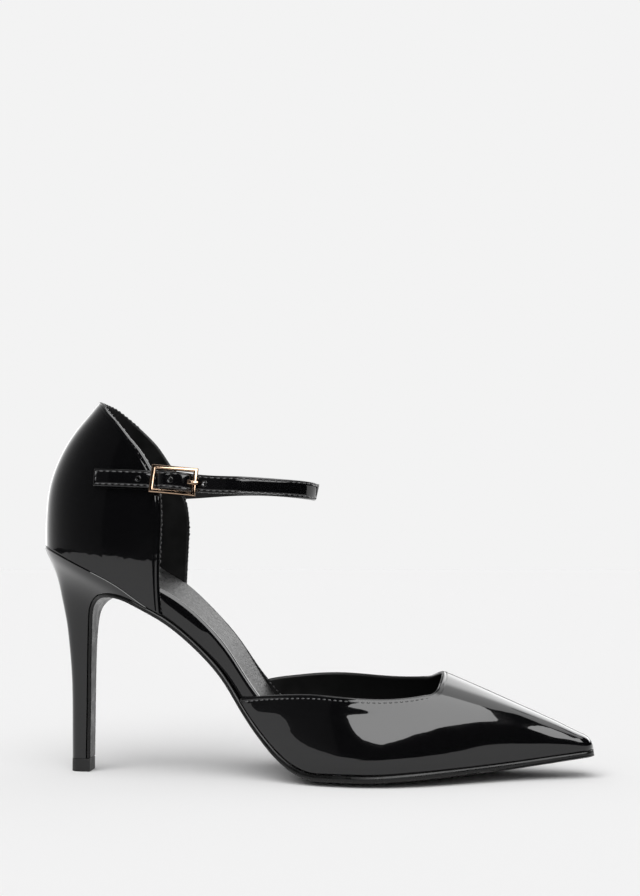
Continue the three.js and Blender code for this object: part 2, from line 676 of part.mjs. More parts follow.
function topPieceGeometry() {
  const front = soleAt(soleLength, 0).x;
  const places = spread(0, 1, 14);
  const side = (sign) => places.map((around) => {
    const run = around * around * (front - STEM_BACK);
    const nose = Math.min(1, run / (STEM_LENGTH * 0.85));
    return [STEM_BACK + run, sign * STEM_WIDTH / 2 * Math.sqrt(1 - (1 - nose) ** 3)];
  });
  const outline = [...side(LATERAL).reverse(), ...side(MEDIAL).slice(1)];
  return loft([0, TOP_PIECE_HEIGHT].map((z) => outline.map(([x, y]) => new THREE.Vector3(x, y, z))));
}

// Buckle place: along the strap from the middle of the buckle, out from the counter's side, and up.
const BUCKLE_X = 0.2592 * SHOE_LENGTH;
const STRAP_FALL = table(['x', 'z'], [
  [0.110, 1.0095],
  [0.160, 1.0065],
  [0.210, 1.0025],
  [0.259, 0.9975],
  [0.305, 0.9870],
  [0.330, 0.9830],
]);
const strapLevel = smooth(column(STRAP_FALL, 'x', SHOE_LENGTH), column(STRAP_FALL, 'z', STRAP_HEIGHT));
const counterFront = frontEdge[LATERAL](STRAP_HEIGHT);
const sideLean = (counterHalf(STRAP_HEIGHT + 1) - counterHalf(STRAP_HEIGHT - 1)) / 2;
function sideBase(x) {
  const on = Math.min(x, counterFront - 1);
  const here = counterWidth(on, strapLevel(on), LATERAL, 0);
  const behind = counterWidth(on - 1, strapLevel(on - 1), LATERAL, 0);
  return here + (x - on) * (here - behind);
}
const sideFall = strapLevel(BUCKLE_X - 0.5) - strapLevel(BUCKLE_X + 0.5);
function onSide(along, out, up) {
  const x = BUCKLE_X + along;
  return new THREE.Vector3(x + sideFall * up, -(sideBase(x) + out + sideLean * up), strapLevel(x) + up);
}

// Layers at the buckle, out from the counter: chape, strap, frame.
const CHAPE_OUT = CLEARANCE + CHAPE_THICKNESS / 2;
const STRAP_OUT = CHAPE_OUT + CHAPE_THICKNESS / 2 + CLEARANCE + STRAP_THICKNESS / 2;
const FRAME_OUT = STRAP_OUT + STRAP_THICKNESS / 2 + BUCKLE_PLAY + FRAME_THICKNESS / 2;
const CENTRE_BAR_OUT = FRAME_OUT - CENTRE_BAR_DROP;
const CHAPE_LOOP_INNER = CENTRE_BAR_DIAMETER / 2 + CLEARANCE;
const CHAPE_LOOP_OUTER = CHAPE_LOOP_INNER + CHAPE_THICKNESS;
const STRAP_OVER_BAR = CENTRE_BAR_OUT + CHAPE_LOOP_OUTER + CLEARANCE + STRAP_THICKNESS / 2;
const END_BAR = (FRAME_LENGTH - FRAME_BAR) / 2;

// Strap route: the free end and the buckle on the lateral side, the open loop round the front of the
// ankle, and the end that is sewn on the medial side of the counter. In the loop's rows x is a share
// of STRAP_REACH, y of SEAT_WIDTH and z of STRAP_HEIGHT, and lean is how far the strap's upper edge
// leans in for each millimetre of its width.
const LOOP = table(['x', 'y', 'z', 'lean'], [
  [0.735, -0.492, 0.9800, 0.06],
  [0.830, -0.435, 0.9755, 0.00],
  [0.912, -0.330, 0.9715, -0.08],
  [0.972, -0.180, 0.9680, -0.18],
  [0.9943, 0.000, 0.9660, -0.22],
  [0.972, 0.180, 0.9720, -0.18],
  [0.912, 0.330, 0.9815, -0.08],
  [0.830, 0.435, 0.9900, 0.00],
  [0.735, 0.492, 0.9945, 0.06],
  [0.630, 0.512, 0.9925, 0.10],
]);
const medialFront = frontEdge[MEDIAL](STRAP_HEIGHT);
const SEWN_LEVEL = 0.982 * STRAP_HEIGHT;
function strapRoute() {
  const lateral = [
    [-FREE_END_LENGTH, STRAP_OUT],
    [-0.75 * FREE_END_LENGTH, STRAP_OUT],
    [-0.5 * FREE_END_LENGTH, STRAP_OUT],
    [-END_BAR - FRAME_BAR, STRAP_OUT],
    [-END_BAR + FRAME_BAR / 4, STRAP_OUT],
    [-END_BAR / 4, mix(STRAP_OUT, STRAP_OVER_BAR, 0.94)],
    [END_BAR / 4, mix(STRAP_OUT, STRAP_OVER_BAR, 0.94)],
    [END_BAR - FRAME_BAR / 4, STRAP_OUT],
    [END_BAR + FRAME_BAR, STRAP_OUT],
  ].map(([along, out]) => ({ place: onSide(along, out, 0), lean: -sideLean }));
  const loopX = column(LOOP, 'x', STRAP_REACH);
  const loopY = column(LOOP, 'y', SEAT_WIDTH);
  const loopZ = column(LOOP, 'z', STRAP_HEIGHT);
  const loop = column(LOOP, 'lean').map((lean, i) => (
    { place: new THREE.Vector3(loopX[i], loopY[i], loopZ[i]), lean }));
  const sewn = [0.12, 0.4, 0.7, 1].map((share) => {
    const x = medialFront - share * STRAP_SEWN_LENGTH;
    const out = counterWidth(x, SEWN_LEVEL, MEDIAL, 0) + CLEARANCE + STRAP_THICKNESS / 2;
    return { place: new THREE.Vector3(x, out, SEWN_LEVEL), lean: -sideLean };
  });
  return [...lateral, ...loop, ...sewn];
}
const route = strapRoute();
const routeRun = route.map((_, i) => route.slice(1, i + 1)
  .reduce((sum, stop, k) => sum + stop.place.distanceTo(route[k].place), 0));
const routeX = smooth(routeRun, route.map((stop) => stop.place.x));
const routeY = smooth(routeRun, route.map((stop) => stop.place.y));
const routeZ = smooth(routeRun, route.map((stop) => stop.place.z));
const routeLean = smooth(routeRun, route.map((stop) => stop.lean));

// A place on the strap: run along it, out through its thickness and up across its width.
function onStrap(run, out, up) {
  const step = 0.05;
  const change = (line) => line(run + step) - line(run - step);
  const ahead = new THREE.Vector2(change(routeX), change(routeY));
  const fall = -change(routeZ) / ahead.length();
  ahead.normalize();
  const shift = out - routeLean(run) * up;
  const x = routeX(run) + ahead.y * shift + ahead.x * fall * up;
  return new THREE.Vector3(x, routeY(run) - ahead.x * shift + ahead.y * fall * up, routeZ(run) + up);
}

const STRAP_STATIONS = 64;
const STRAP_EDGE = 0.3;
function strapGeometry() {
  const [t, w, e] = [STRAP_THICKNESS / 2, STRAP_WIDTH / 2, STRAP_EDGE];
  const section = [
    [t - e, -w], [t, -w + e], [t, w - e], [t - e, w],
    [e - t, w], [-t, w - e], [-t, e - w], [e - t, -w],
  ];
  const length = routeRun[routeRun.length - 1];
  const rings = spread(0, 1, STRAP_STATIONS).map((share) => {
    const run = length * mix(share, share ** 1.5, 0.8);
    return section.map(([out, up]) => onStrap(run, out, up));
  });
  let strap = solid(loft(rings));
  const holes = spread(0, HOLE_COUNT - 1, HOLE_COUNT).filter((i) => i !== PRONG_HOLE);
  holes.forEach((i) => {
    const x = BUCKLE_X + PRONG_HOLE_ALONG + (i - PRONG_HOLE) * HOLE_PITCH;
    const run = solve((value) => routeX(value) - x, 0, routeRun[9]);
    const pin = [-2, 2].map((out) => spread(0, 7, 8).map((k) => {
      const angle = k * Math.PI / 4;
      const radius = HOLE_DIAMETER / 2;
      return onStrap(run + radius * Math.cos(angle), out * STRAP_THICKNESS, radius * Math.sin(angle));
    }));
    strap = strap.subtract(solid(loft(pin)));
  });
  return geometryOf(strap.subtract(solid(prongArm(CLEARANCE))));
}

// Prong: an eye round the centre bar and an arm that rises through the strap onto the end bar.
// along is a share of END_BAR, low and high are out from the frame's middle in bar thicknesses.
const PRONG_HOLE = 3;
const PRONG_HOLE_ALONG = 6;
const PRONG_ARM = table(['along', 'low', 'high'], [
  [0.11, -1.15, -0.36],
  [0.46, -0.75, 0.04],
  [0.66, 0.10, 1.00],
  [0.80, 0.66, 1.50],
  [0.92, 0.72, 1.50],
  [1.16, 0.72, 1.36],
]);
function prongArm(margin) {
  const along = column(PRONG_ARM, 'along', END_BAR);
  const low = column(PRONG_ARM, 'low', FRAME_THICKNESS);
  const high = column(PRONG_ARM, 'high', FRAME_THICKNESS);
  const half = PRONG_WIDTH / 2 + margin;
  const rings = [-half, half].map((up) => [
    ...along.map((s, i) => onSide(s + (i === 0 ? -margin : 0), FRAME_OUT + low[i] - margin, up)),
    ...along.map((s, i) => onSide(s, FRAME_OUT + high[i] + margin, up)).reverse(),
  ]);
  return loft(rings);
}

// Round pin along the centre bar, from one height to another.
const PIN_SIDES = 14;
function barPin(radius, from, to) {
  return solid(loft([from, to].map((up) => spread(0, PIN_SIDES - 1, PIN_SIDES).map((k) => {
    const angle = k * 2 * Math.PI / PIN_SIDES;
    return onSide(radius * Math.cos(angle), CENTRE_BAR_OUT + radius * Math.sin(angle), up);
  }))));
}

function prongGeometry() {
  const inner = CENTRE_BAR_DIAMETER / 2 + CLEARANCE;
  const eye = barPin(inner + 0.7 * PRONG_THICKNESS, -PRONG_WIDTH / 2, PRONG_WIDTH / 2);
  return geometryOf(eye.add(solid(prongArm(0))).subtract(barPin(inner, -PRONG_WIDTH, PRONG_WIDTH)));
}

// Chape: the tongue that holds the buckle, sewn on the counter and folded round the centre bar.
function chapeGeometry() {
  const half = CHAPE_WIDTH / 2;
  const slot = PRONG_WIDTH / 2 + CLEARANCE;
  const low = CHAPE_OUT - CHAPE_THICKNESS / 2;
  const high = CHAPE_OUT + CHAPE_THICKNESS / 2;
  const stops = spread(-CHAPE_LENGTH, -CHAPE_LOOP_OUTER, 9);
  const tongue = (from, to) => solid(loft([from, to].map((up) => [
    ...stops.map((s) => onSide(s, low, up)),
    onSide(0, CENTRE_BAR_OUT - 0.96 * CHAPE_LOOP_OUTER, up),
    onSide(0, CENTRE_BAR_OUT + 0.96 * CHAPE_LOOP_OUTER, up),
    ...stops.slice(0, 7).reverse().map((s) => onSide(s, high, up)),
  ])));
  const piece = tongue(-half, half);
  const fold = barPin(CHAPE_LOOP_OUTER, -half, half);
  const bore = barPin(CHAPE_LOOP_INNER, -half - 1, half + 1);
  const gap = solid(loft([-slot, slot].map((up) => [
    onSide(-CHAPE_LOOP_OUTER - CLEARANCE, CENTRE_BAR_OUT - 2 * CHAPE_LOOP_OUTER, up),
    onSide(2 * CHAPE_LOOP_OUTER, CENTRE_BAR_OUT - 2 * CHAPE_LOOP_OUTER, up),
    onSide(2 * CHAPE_LOOP_OUTER, CENTRE_BAR_OUT + 2 * CHAPE_LOOP_OUTER, up),
    onSide(-CHAPE_LOOP_OUTER - CLEARANCE, CENTRE_BAR_OUT + 2 * CHAPE_LOOP_OUTER, up),
  ])));
  return geometryOf(piece.add(fold).subtract(bore).subtract(gap));
}

// Buckle frame: a bevelled rectangle with a centre bar set in behind it on two posts.
function frameGeometry() {
  const half = { x: FRAME_LENGTH / 2, z: FRAME_HEIGHT / 2 };
  const shape = new THREE.Shape().moveTo(-half.x, -half.z).lineTo(half.x, -half.z)
    .lineTo(half.x, half.z).lineTo(-half.x, half.z).closePath();
  const [ix, iz] = [half.x - FRAME_BAR, half.z - FRAME_BAR];
  const inside = new THREE.Path().moveTo(-ix, -iz).lineTo(-ix, iz).lineTo(ix, iz).lineTo(ix, -iz).closePath();
  shape.holes.push(inside);
  const flat = new THREE.ExtrudeGeometry(shape, {
    depth: FRAME_THICKNESS - 2 * FRAME_BEVEL,
    bevelThickness: FRAME_BEVEL,
    bevelSize: FRAME_BEVEL,
    bevelOffset: -FRAME_BEVEL,
    bevelSegments: 1,
    steps: 1,
  }).translate(0, 0, -FRAME_THICKNESS / 2 + FRAME_BEVEL);
  const barRadius = CENTRE_BAR_DIAMETER / 2;
  const bar = new THREE.CylinderGeometry(barRadius, barRadius, FRAME_HEIGHT - FRAME_BAR, 12)
    .translate(0, 0, -CENTRE_BAR_DROP);
  let frame = solid(flat).add(solid(bar));
  [-1, 1].forEach((end) => {
    const height = CENTRE_BAR_DROP + barRadius;
    const post = new THREE.BoxGeometry(CENTRE_BAR_DIAMETER * 1.2, FRAME_BAR * 0.6, height)
      .translate(0, end * (FRAME_HEIGHT - FRAME_BAR) / 2, -height / 2);
    frame = frame.add(solid(post));
  });
  const centre = onSide(0, FRAME_OUT, 0);
  const ahead = onSide(1, FRAME_OUT, 0).sub(onSide(-1, FRAME_OUT, 0)).normalize();
  const up = onSide(0, FRAME_OUT, 1).sub(centre);
  const out = ahead.clone().cross(up).normalize();
  up.copy(out).cross(ahead);
  const turn = new THREE.Matrix4().makeBasis(ahead, up, out).setPosition(centre);
  return geometryOf(frame).applyMatrix4(turn);
}

const materials = {
  patent: new THREE.MeshStandardMaterial({ color: 0x070707, roughness: 0.06, metalness: 0 }),
  edge: new THREE.MeshStandardMaterial({ color: 0x0c0c0d, roughness: 0.3, metalness: 0 }),
  sock: new THREE.MeshStandardMaterial({ color: 0x1c1c1e, roughness: 0.45, metalness: 0 }),
  rubber: new THREE.MeshStandardMaterial({ color: 0x141414, roughness: 0.6, metalness: 0 }),
  gold: new THREE.MeshStandardMaterial({ color: 0xd9b48a, roughness: 0.2, metalness: 1 }),
};

const shoe = new THREE.Group();
function addPiece(name, geometry, material) {
  const mesh = new THREE.Mesh(geometry, material);
  mesh.name = name;
  shoe.add(mesh);
}

addPiece('upper', upperGeometry(), materials.patent);
addPiece('outsole', outsoleGeometry(), materials.edge);
addPiece('heel', heelGeometry(), materials.patent);
addPiece('top_piece', topPieceGeometry(), materials.rubber);
addPiece('insole', insoleGeometry(), materials.sock);
addPiece('ankle_strap', strapGeometry(), materials.patent);
addPiece('buckle_frame', frameGeometry(), materials.gold);
addPiece('buckle_prong', prongGeometry(), materials.gold);
addPiece('buckle_chape', chapeGeometry(), materials.patent);

const part = new THREE.Group();
part.add(shoe);
const box = new THREE.Box3().setFromObject(shoe);
shoe.position.set(-(box.min.x + box.max.x) / 2, -(box.min.y + box.max.y) / 2, -box.min.z);

export default part;
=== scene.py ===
"""Looks of a pointed court shoe: black patent upper, covered stiletto heel and buckled ankle strap.

Shapes are worked out in millimetres in the shoe's own frame: X from the back of the heel towards
the toe, -Y on the lateral side, Z from the floor. in_frame() turns them into the part's metres.
"""
import math

import bmesh
import bpy
import numpy as np
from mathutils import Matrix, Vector


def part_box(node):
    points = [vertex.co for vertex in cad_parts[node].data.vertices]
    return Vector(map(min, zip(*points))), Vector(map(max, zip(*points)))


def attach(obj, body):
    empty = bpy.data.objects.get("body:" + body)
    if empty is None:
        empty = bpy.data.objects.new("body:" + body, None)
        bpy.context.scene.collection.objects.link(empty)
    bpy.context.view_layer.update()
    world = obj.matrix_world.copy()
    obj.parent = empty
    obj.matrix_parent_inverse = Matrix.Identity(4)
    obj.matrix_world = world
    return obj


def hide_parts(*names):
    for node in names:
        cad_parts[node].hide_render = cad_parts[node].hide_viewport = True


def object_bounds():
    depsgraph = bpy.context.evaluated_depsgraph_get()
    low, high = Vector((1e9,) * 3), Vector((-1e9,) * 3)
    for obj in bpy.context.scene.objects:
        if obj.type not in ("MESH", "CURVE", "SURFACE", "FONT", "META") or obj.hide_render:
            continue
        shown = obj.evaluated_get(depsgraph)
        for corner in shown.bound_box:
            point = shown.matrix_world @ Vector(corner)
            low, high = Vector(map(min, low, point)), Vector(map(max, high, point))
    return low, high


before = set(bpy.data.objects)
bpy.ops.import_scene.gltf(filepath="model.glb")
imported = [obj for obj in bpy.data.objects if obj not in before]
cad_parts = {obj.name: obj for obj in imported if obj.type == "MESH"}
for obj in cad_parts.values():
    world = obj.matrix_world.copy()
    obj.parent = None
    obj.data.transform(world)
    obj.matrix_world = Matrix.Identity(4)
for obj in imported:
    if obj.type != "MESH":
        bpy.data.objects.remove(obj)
cad_low, cad_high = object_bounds()

MM = 0.001
LATERAL, MEDIAL = -1, 1
top_piece_low, top_piece_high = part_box("top_piece")
ORIGIN = np.array([cad_low.x, (top_piece_low.y + top_piece_high.y) / 2, cad_low.z])

# Driving dimensions of the last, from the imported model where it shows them
CLEARANCE = 0.3
SHOE_LENGTH = (cad_high.x - cad_low.x) / MM
HEEL_HEIGHT = (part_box("heel")[1].z - cad_low.z) / MM + CLEARANCE
BACK_HEIGHT = (cad_high.z - cad_low.z) / MM - HEEL_HEIGHT
TOP_PIECE_HEIGHT = (top_piece_high.z - top_piece_low.z) / MM
STEM_WIDTH = (top_piece_high.y - top_piece_low.y) / MM
STEM_BACK = (top_piece_low.x - cad_low.x) / MM
BALL_WIDTH = 73
SEAT_WIDTH = 51
INSTEP_HEIGHT = 44.7

# Walls, soles and edges
UPPER_WALL = 2
WAIST_STEP = 1
WAIST_WALL = 1.4
FEATHER_TUCK = 0.9
TUCK_HEIGHT = 7
OUTSOLE_THICKNESS = 2.7
SOLE_EDGE_RISE = 2.1
INSOLE_INSET = 2.6
INSOLE_DISH = 0.8
STEM_LENGTH = 7.2

# Strap and buckle
STRAP_WIDTH = 7.6
STRAP_THICKNESS = 1.4
STRAP_HEIGHT = 127
STRAP_REACH = 122.4
STRAP_SEWN_LENGTH = 24
FREE_END_LENGTH = 35.2
HOLE_RADIUS = 0.75
HOLE_RIM_RADIUS = 1.12
HOLE_RIM_BEAD = 0.3
HOLE_RIM_LIFT = 0.12
HOLE_RIM_FLATNESS = 0.8
HOLE_PITCH = 7.2
HOLE_COUNT = 5
PRONG_HOLE = 3
PRONG_HOLE_ALONG = 6
FRAME_LENGTH = 20.2
FRAME_HEIGHT = 12.3
FRAME_BAR = 1.9
FRAME_THICKNESS = 1.4
FRAME_BEVEL = 0.52
CENTRE_BAR_RADIUS = 0.6
CENTRE_BAR_DROP = 1.5
BAR_POST = [(-0.7, -0.55), (0.7, -0.55), (0.7, 0.55), (-0.7, 0.55)]
BAR_POST_SUNK = 0.1
PRONG_WIDTH = 1.9
CHAPE_THICKNESS = 0.9
BUCKLE_PLAY = 0.55
STRAP_SOFT_EDGE = 0.55
STRAP_FLAT = 2.1
STRAP_TROUGH = 0.16
STRAP_TROUGH_WIDTH = 0.26
STRAP_CROWN = 0.1
STRAP_THREAD_SINK = 0.08

# Stitches: distance from the folded edge, pitch, thread and the trough that they pull in
SEAM_INSET = 1.9
SEAM_PITCH = 2.3
STRAP_SEAM_INSET = 1.05
STRAP_SEAM_PITCH = 2.8
THREAD_RADIUS = 0.25
STITCH_SHARE = 0.66
THREAD_FLATNESS = 1.15
SEAM_END = 1.5
SEAM_DEPTH = 0.07
SEAM_WIDTH = 0.38


def smooth(xs, ys):
    """Smooth line through points: a natural cubic spline, straight past its ends."""
    xs, ys = np.asarray(xs, float), np.asarray(ys, float)
    step = np.diff(xs)
    slope = np.diff(ys) / step
    size = len(xs)
    matrix = np.eye(size)
    right = np.zeros(size)
    for i in range(1, size - 1):
        matrix[i, i - 1:i + 2] = step[i - 1], 2 * (step[i - 1] + step[i]), step[i]
        right[i] = 6 * (slope[i] - slope[i - 1])
    bend = np.linalg.solve(matrix, right)
    first = slope[0] - step[0] * (2 * bend[0] + bend[1]) / 6
    last = slope[-1] + step[-1] * (bend[-2] + 2 * bend[-1]) / 6

    def line(x):
        x = np.asarray(x, float)
        inside = np.clip(x, xs[0], xs[-1])
        i = np.clip(np.searchsorted(xs, inside) - 1, 0, size - 2)
        b = (inside - xs[i]) / step[i]
        a = 1 - b
        cubic = (a ** 3 - a) * bend[i] + (b ** 3 - b) * bend[i + 1]
        value = a * ys[i] + b * ys[i + 1] + cubic * step[i] ** 2 / 6
        return value + np.minimum(x - xs[0], 0) * first + np.maximum(x - xs[-1], 0) * last

    return line


def solve(f, low, high):
    """Where f crosses zero between low and high, for one number or an array of them."""
    low, high = np.broadcast_arrays(np.asarray(low, float), np.asarray(high, float))
    low, high = low.copy(), high.copy()
    rising = f(high) > f(low)
    for _ in range(45):
        middle = (low + high) / 2
        above = (f(middle) > 0) == rising
        high = np.where(above, middle, high)
        low = np.where(above, low, middle)
    return (low + high) / 2


def ease(x, start, end):
    """Smooth step from 0 at start to 1 at end."""
    t = np.clip((x - start) / (end - start), 0, 1)
    return t * t * (3 - 2 * t)


def mix(a, b, t):
    return a + (b - a) * t


def roundness(distance, radius):
    """Height of a rounded edge, from 0 at its line to 1 where it has gone over into the face."""
    return np.sqrt(1 - (1 - np.clip(distance / radius, 0, 1)) ** 2)


def run_of(points):
    """Length along a line of points, from 0 at its first."""
    points = np.asarray(points, float)
    return np.concatenate([[0], np.cumsum(np.linalg.norm(np.diff(points, axis=0), axis=1))])


def place_at(run, line, places):
    """Points at given places in the run of a line of points."""
    return np.stack([np.interp(places, run, column) for column in np.transpose(line)], axis=-1)


def round_turn(count):
    """Angles evenly spread over one turn."""
    return np.arange(count) * 2 * math.pi / count


class Table:
    """Rows of sections with named columns, each column scaled by the size that it follows."""

    def __init__(self, names, rows, **scales):
        values = np.array(rows, float)
        self.columns = {
            name: values[:, i] * scales.get(name, 1) for i, name in enumerate(names.split())
        }

    def __getitem__(self, name):
        return self.columns[name]

    def line(self, x, y):
        return smooth(self[x], self[y])

    def sides(self, x, shift=0, lift=0):
        """Lines of the lateral and the medial column."""
        return {side: smooth(self[x] + shift, self[name] + lift)
                for side, name in ((LATERAL, "lateral"), (MEDIAL, "medial"))}


# Last: half widths at the feather line and the height of the ridge along the foot
LAST = Table("x lateral medial ridge", [
    (0.190, 0.323, 0.321, 2.95),
    (0.236, 0.312, 0.307, 2.62),
    (0.286, 0.284, 0.278, 2.30),
    (0.327, 0.271, 0.266, 2.05),
    (0.364, 0.282, 0.278, 1.86),
    (0.414, 0.330, 0.332, 1.68),
    (0.464, 0.400, 0.410, 1.54),
    (0.518, 0.464, 0.478, 1.42),
    (0.571, 0.499, 0.501, 1.31),
    (0.621, 0.499, 0.485, 1.215),
    (0.683, 0.462, 0.444, 1.105),
    (0.734, 0.396, 0.384, 1.000),
    (0.775, 0.333, 0.331, 0.908),
    (0.828, 0.250, 0.264, 0.783),
    (0.897, 0.162, 0.200, 0.617),
    (0.952, 0.110, 0.156, 0.480),
    (0.982, 0.085, 0.131, 0.404),
    (0.9935, 0.070, 0.118, 0.369),
    (1.000, 0.046, 0.096, 0.325),
], x=SHOE_LENGTH, lateral=BALL_WIDTH, medial=BALL_WIDTH, ridge=INSTEP_HEIGHT)
lateral_width = LAST.line("x", "lateral")
medial_width = LAST.line("x", "medial")
ridge_height = LAST.line("x", "ridge")
LAST_POWER = 2.15

# Sole: its underside from the toe, over the arch and down the heel breast, its thickness and the
# rise of its edges
SOLE = Table("x z thick rise", [
    (1.000, 0.0910, 0.70, 0.45),
    (0.936, 0.0690, 0.74, 0.60),
    (0.865, 0.0465, 0.80, 0.72),
    (0.795, 0.0290, 0.88, 0.88),
    (0.725, 0.0165, 0.95, 0.98),
    (0.660, 0.0065, 1.00, 1.00),
    (0.605, 0.0000, 1.00, 1.00),
    (0.560, 0.0000, 1.00, 1.00),
    (0.515, 0.0000, 0.96, 1.00),
    (0.487, 0.0150, 0.92, 0.92),
    (0.452, 0.0680, 0.86, 0.62),
    (0.415, 0.1640, 0.80, 0.28),
    (0.379, 0.2850, 0.76, 0.08),
    (0.342, 0.4240, 0.74, 0.00),
    (0.305, 0.5250, 0.74, 0.00),
    (0.269, 0.6060, 0.74, 0.00),
    (0.234, 0.6700, 0.74, 0.00),
    (0.198, 0.7190, 0.74, 0.00),
    (0.162, 0.7590, 0.72, 0.00),
    (0.137, 0.7690, 0.70, 0.00),
    (0.1145, 0.7590, 0.68, 0.00),
    (0.1005, 0.7230, 0.66, 0.00),
    (0.0950, 0.6600, 0.66, 0.00),
    (0.0930, 0.5200, 0.66, 0.00),
    (0.0930, 0.3000, 0.66, 0.00),
    (0.0930, 0.1500, 0.66, 0.00),
    (0.0930, 0.0594, 0.66, 0.00),
], x=SHOE_LENGTH, z=HEEL_HEIGHT, thick=OUTSOLE_THICKNESS, rise=SOLE_EDGE_RISE)
sole_run = run_of(np.stack([SOLE["x"], SOLE["z"]], axis=1))
sole_length = sole_run[-1]
# Rows of the table at which the arch ends and the breast begins
ARCH_ROW, BREAST_ROW = 18, 19
sole_x, sole_line, sole_thick, sole_rise = (
    smooth(sole_run, SOLE[name]) for name in ("x", "z", "thick", "rise"))


def sole_z(run):
    return np.maximum(0, sole_line(run))


def sole_at(run, lift):
    """Side-view place on the sole's middle line, lifted from its underside along the normal."""
    step = sole_length * 1e-4
    dx = sole_x(run + step) - sole_x(run - step)
    dz = sole_z(run + step) - sole_z(run - step)
    size = np.hypot(dx, dz)
    return sole_x(run) + lift * dz / size, sole_z(run) - lift * dx / size


# Seat line of the counter on the heel, which goes over into the feather line on the outsole
SEAT_LINE = Table("x z", [
    (0.000, 1.000),
    (0.035, 0.965),
    (0.080, 0.915),
    (0.124, 0.864),
    (0.160, 0.815),
], x=SHOE_LENGTH, z=HEEL_HEIGHT)
FEATHER_START = 0.208 * SHOE_LENGTH
feather_end = solve(lambda run: sole_at(run, 0)[0] - FEATHER_START, 0, sole_run[ARCH_ROW])
feather_runs = np.linspace(feather_end, 0, 44)
feather_x, feather_z = sole_at(
    feather_runs, sole_thick(feather_runs) + sole_rise(feather_runs) + CLEARANCE)
feather = smooth(np.concatenate([SEAT_LINE["x"], feather_x]),
                 np.concatenate([SEAT_LINE["z"], feather_z]))

TUCK_START = 0.37 * SHOE_LENGTH
TUCK_RUN = 0.08 * SHOE_LENGTH
NOSE_START = 0.978 * SHOE_LENGTH
NOSE_POWER = 2.3


def nose(x):
    """Share of the section that is left where the toe rounds off."""
    t = np.clip((x - NOSE_START) / (SHOE_LENGTH - NOSE_START), 0, 1)
    return (1 - t ** NOSE_POWER) ** (1 / NOSE_POWER)


def last_point(x, turn, inset=0.0):
    """Place on the last: turn runs from 0 at the lateral feather line to pi at the medial one."""
    x, turn = np.broadcast_arrays(np.asarray(x, float), np.asarray(turn, float))
    side = np.where(turn <= math.pi / 2, LATERAL, MEDIAL)
    angle = np.clip(np.minimum(turn, math.pi - turn), 0, math.pi / 2)
    left = nose(x)
    half = (lateral_width(x) + medial_width(x)) / 2 * left - inset
    middle = (medial_width(x) - lateral_width(x)) / 2
    rise = (ridge_height(x) - feather(x)) * left - inset
    height = rise * np.sin(angle) ** (2 / LAST_POWER)
    foot = np.maximum(0, 1 - height / TUCK_HEIGHT)
    tuck = FEATHER_TUCK * ease(x, TUCK_START, TUCK_START + TUCK_RUN) * left
    y = half * np.cos(angle) ** (2 / LAST_POWER) - tuck * foot ** 2
    return np.stack([x, middle + side * y, feather(x) + height], axis=-1)


def last_angle(x, z, inset=0.0):
    """Angle from the feather line at which the last reaches the height z."""
    share = (z - feather(x)) / (ridge_height(x) - feather(x) - inset)
    return np.arcsin(np.clip(share, 0, 1) ** (LAST_POWER / 2))


# Counter: rearmost x, length of the rounded back, half width and how much of it the front loses
COUNTER = Table("level back round half narrow", [
    (-0.55, 0.0000, 0.182, 0.492, 0.085),
    (0.00, 0.0000, 0.180, 0.500, 0.085),
    (0.13, 0.0005, 0.176, 0.492, 0.070),
    (0.26, 0.0020, 0.172, 0.475, 0.055),
    (0.39, 0.0060, 0.166, 0.452, 0.040),
    (0.53, 0.0165, 0.160, 0.424, 0.030),
    (0.67, 0.0335, 0.152, 0.394, 0.020),
    (0.80, 0.0560, 0.146, 0.364, 0.010),
    (0.90, 0.0780, 0.140, 0.344, 0.005),
    (1.00, 0.1000, 0.134, 0.326, 0.000),
], level=BACK_HEIGHT, back=SHOE_LENGTH, round=SHOE_LENGTH, half=SEAT_WIDTH)
counter_back, counter_round, counter_half, counter_narrow = (
    smooth(COUNTER["level"] + HEEL_HEIGHT, COUNTER[name])
    for name in ("back", "round", "half", "narrow"))

# Front edges of the counter, seen from the side
FRONT_EDGE = Table("level lateral medial", [
    (-0.55, 0.2395, 0.2450),
    (-0.30, 0.2340, 0.2480),
    (0.00, 0.2340, 0.2510),
    (0.20, 0.2350, 0.2510),
    (0.34, 0.2325, 0.2455),
    (0.55, 0.2240, 0.2360),
    (0.78, 0.2080, 0.2200),
    (1.00, 0.1900, 0.2000),
], level=BACK_HEIGHT, lateral=SHOE_LENGTH, medial=SHOE_LENGTH)
front_edge = FRONT_EDGE.sides("level", shift=HEEL_HEIGHT)

# Toplines of the counter, seen from the side
COUNTER_TOPLINE = Table("x lateral medial", [
    (0.100, 1.000, 1.000),
    (0.112, 0.966, 0.980),
    (0.128, 0.905, 0.935),
    (0.154, 0.806, 0.852),
    (0.175, 0.714, 0.777),
    (0.195, 0.628, 0.694),
    (0.212, 0.530, 0.598),
    (0.226, 0.425, 0.505),
    (0.2335, 0.330, 0.430),
    (0.246, 0.120, 0.310),
], x=SHOE_LENGTH, lateral=BACK_HEIGHT, medial=BACK_HEIGHT)
counter_topline = COUNTER_TOPLINE.sides("x", lift=HEEL_HEIGHT)


def nose_width(share):
    """Half width of a rounded back at a share of its length, as a share of the full half width."""
    return np.sqrt(1 - (1 - np.clip(share, 0, 1)) ** 3)


def counter_width(x, z, side, inset=0.0):
    run = np.maximum(0, x - counter_back(z) - inset)
    ahead = np.minimum(1.2, run / (front_edge[side](z) - counter_back(z)))
    lost = counter_narrow(z) * ahead ** 3
    return (counter_half(z) - inset) * nose_width(run / (counter_round(z) - inset)) * (1 - lost)


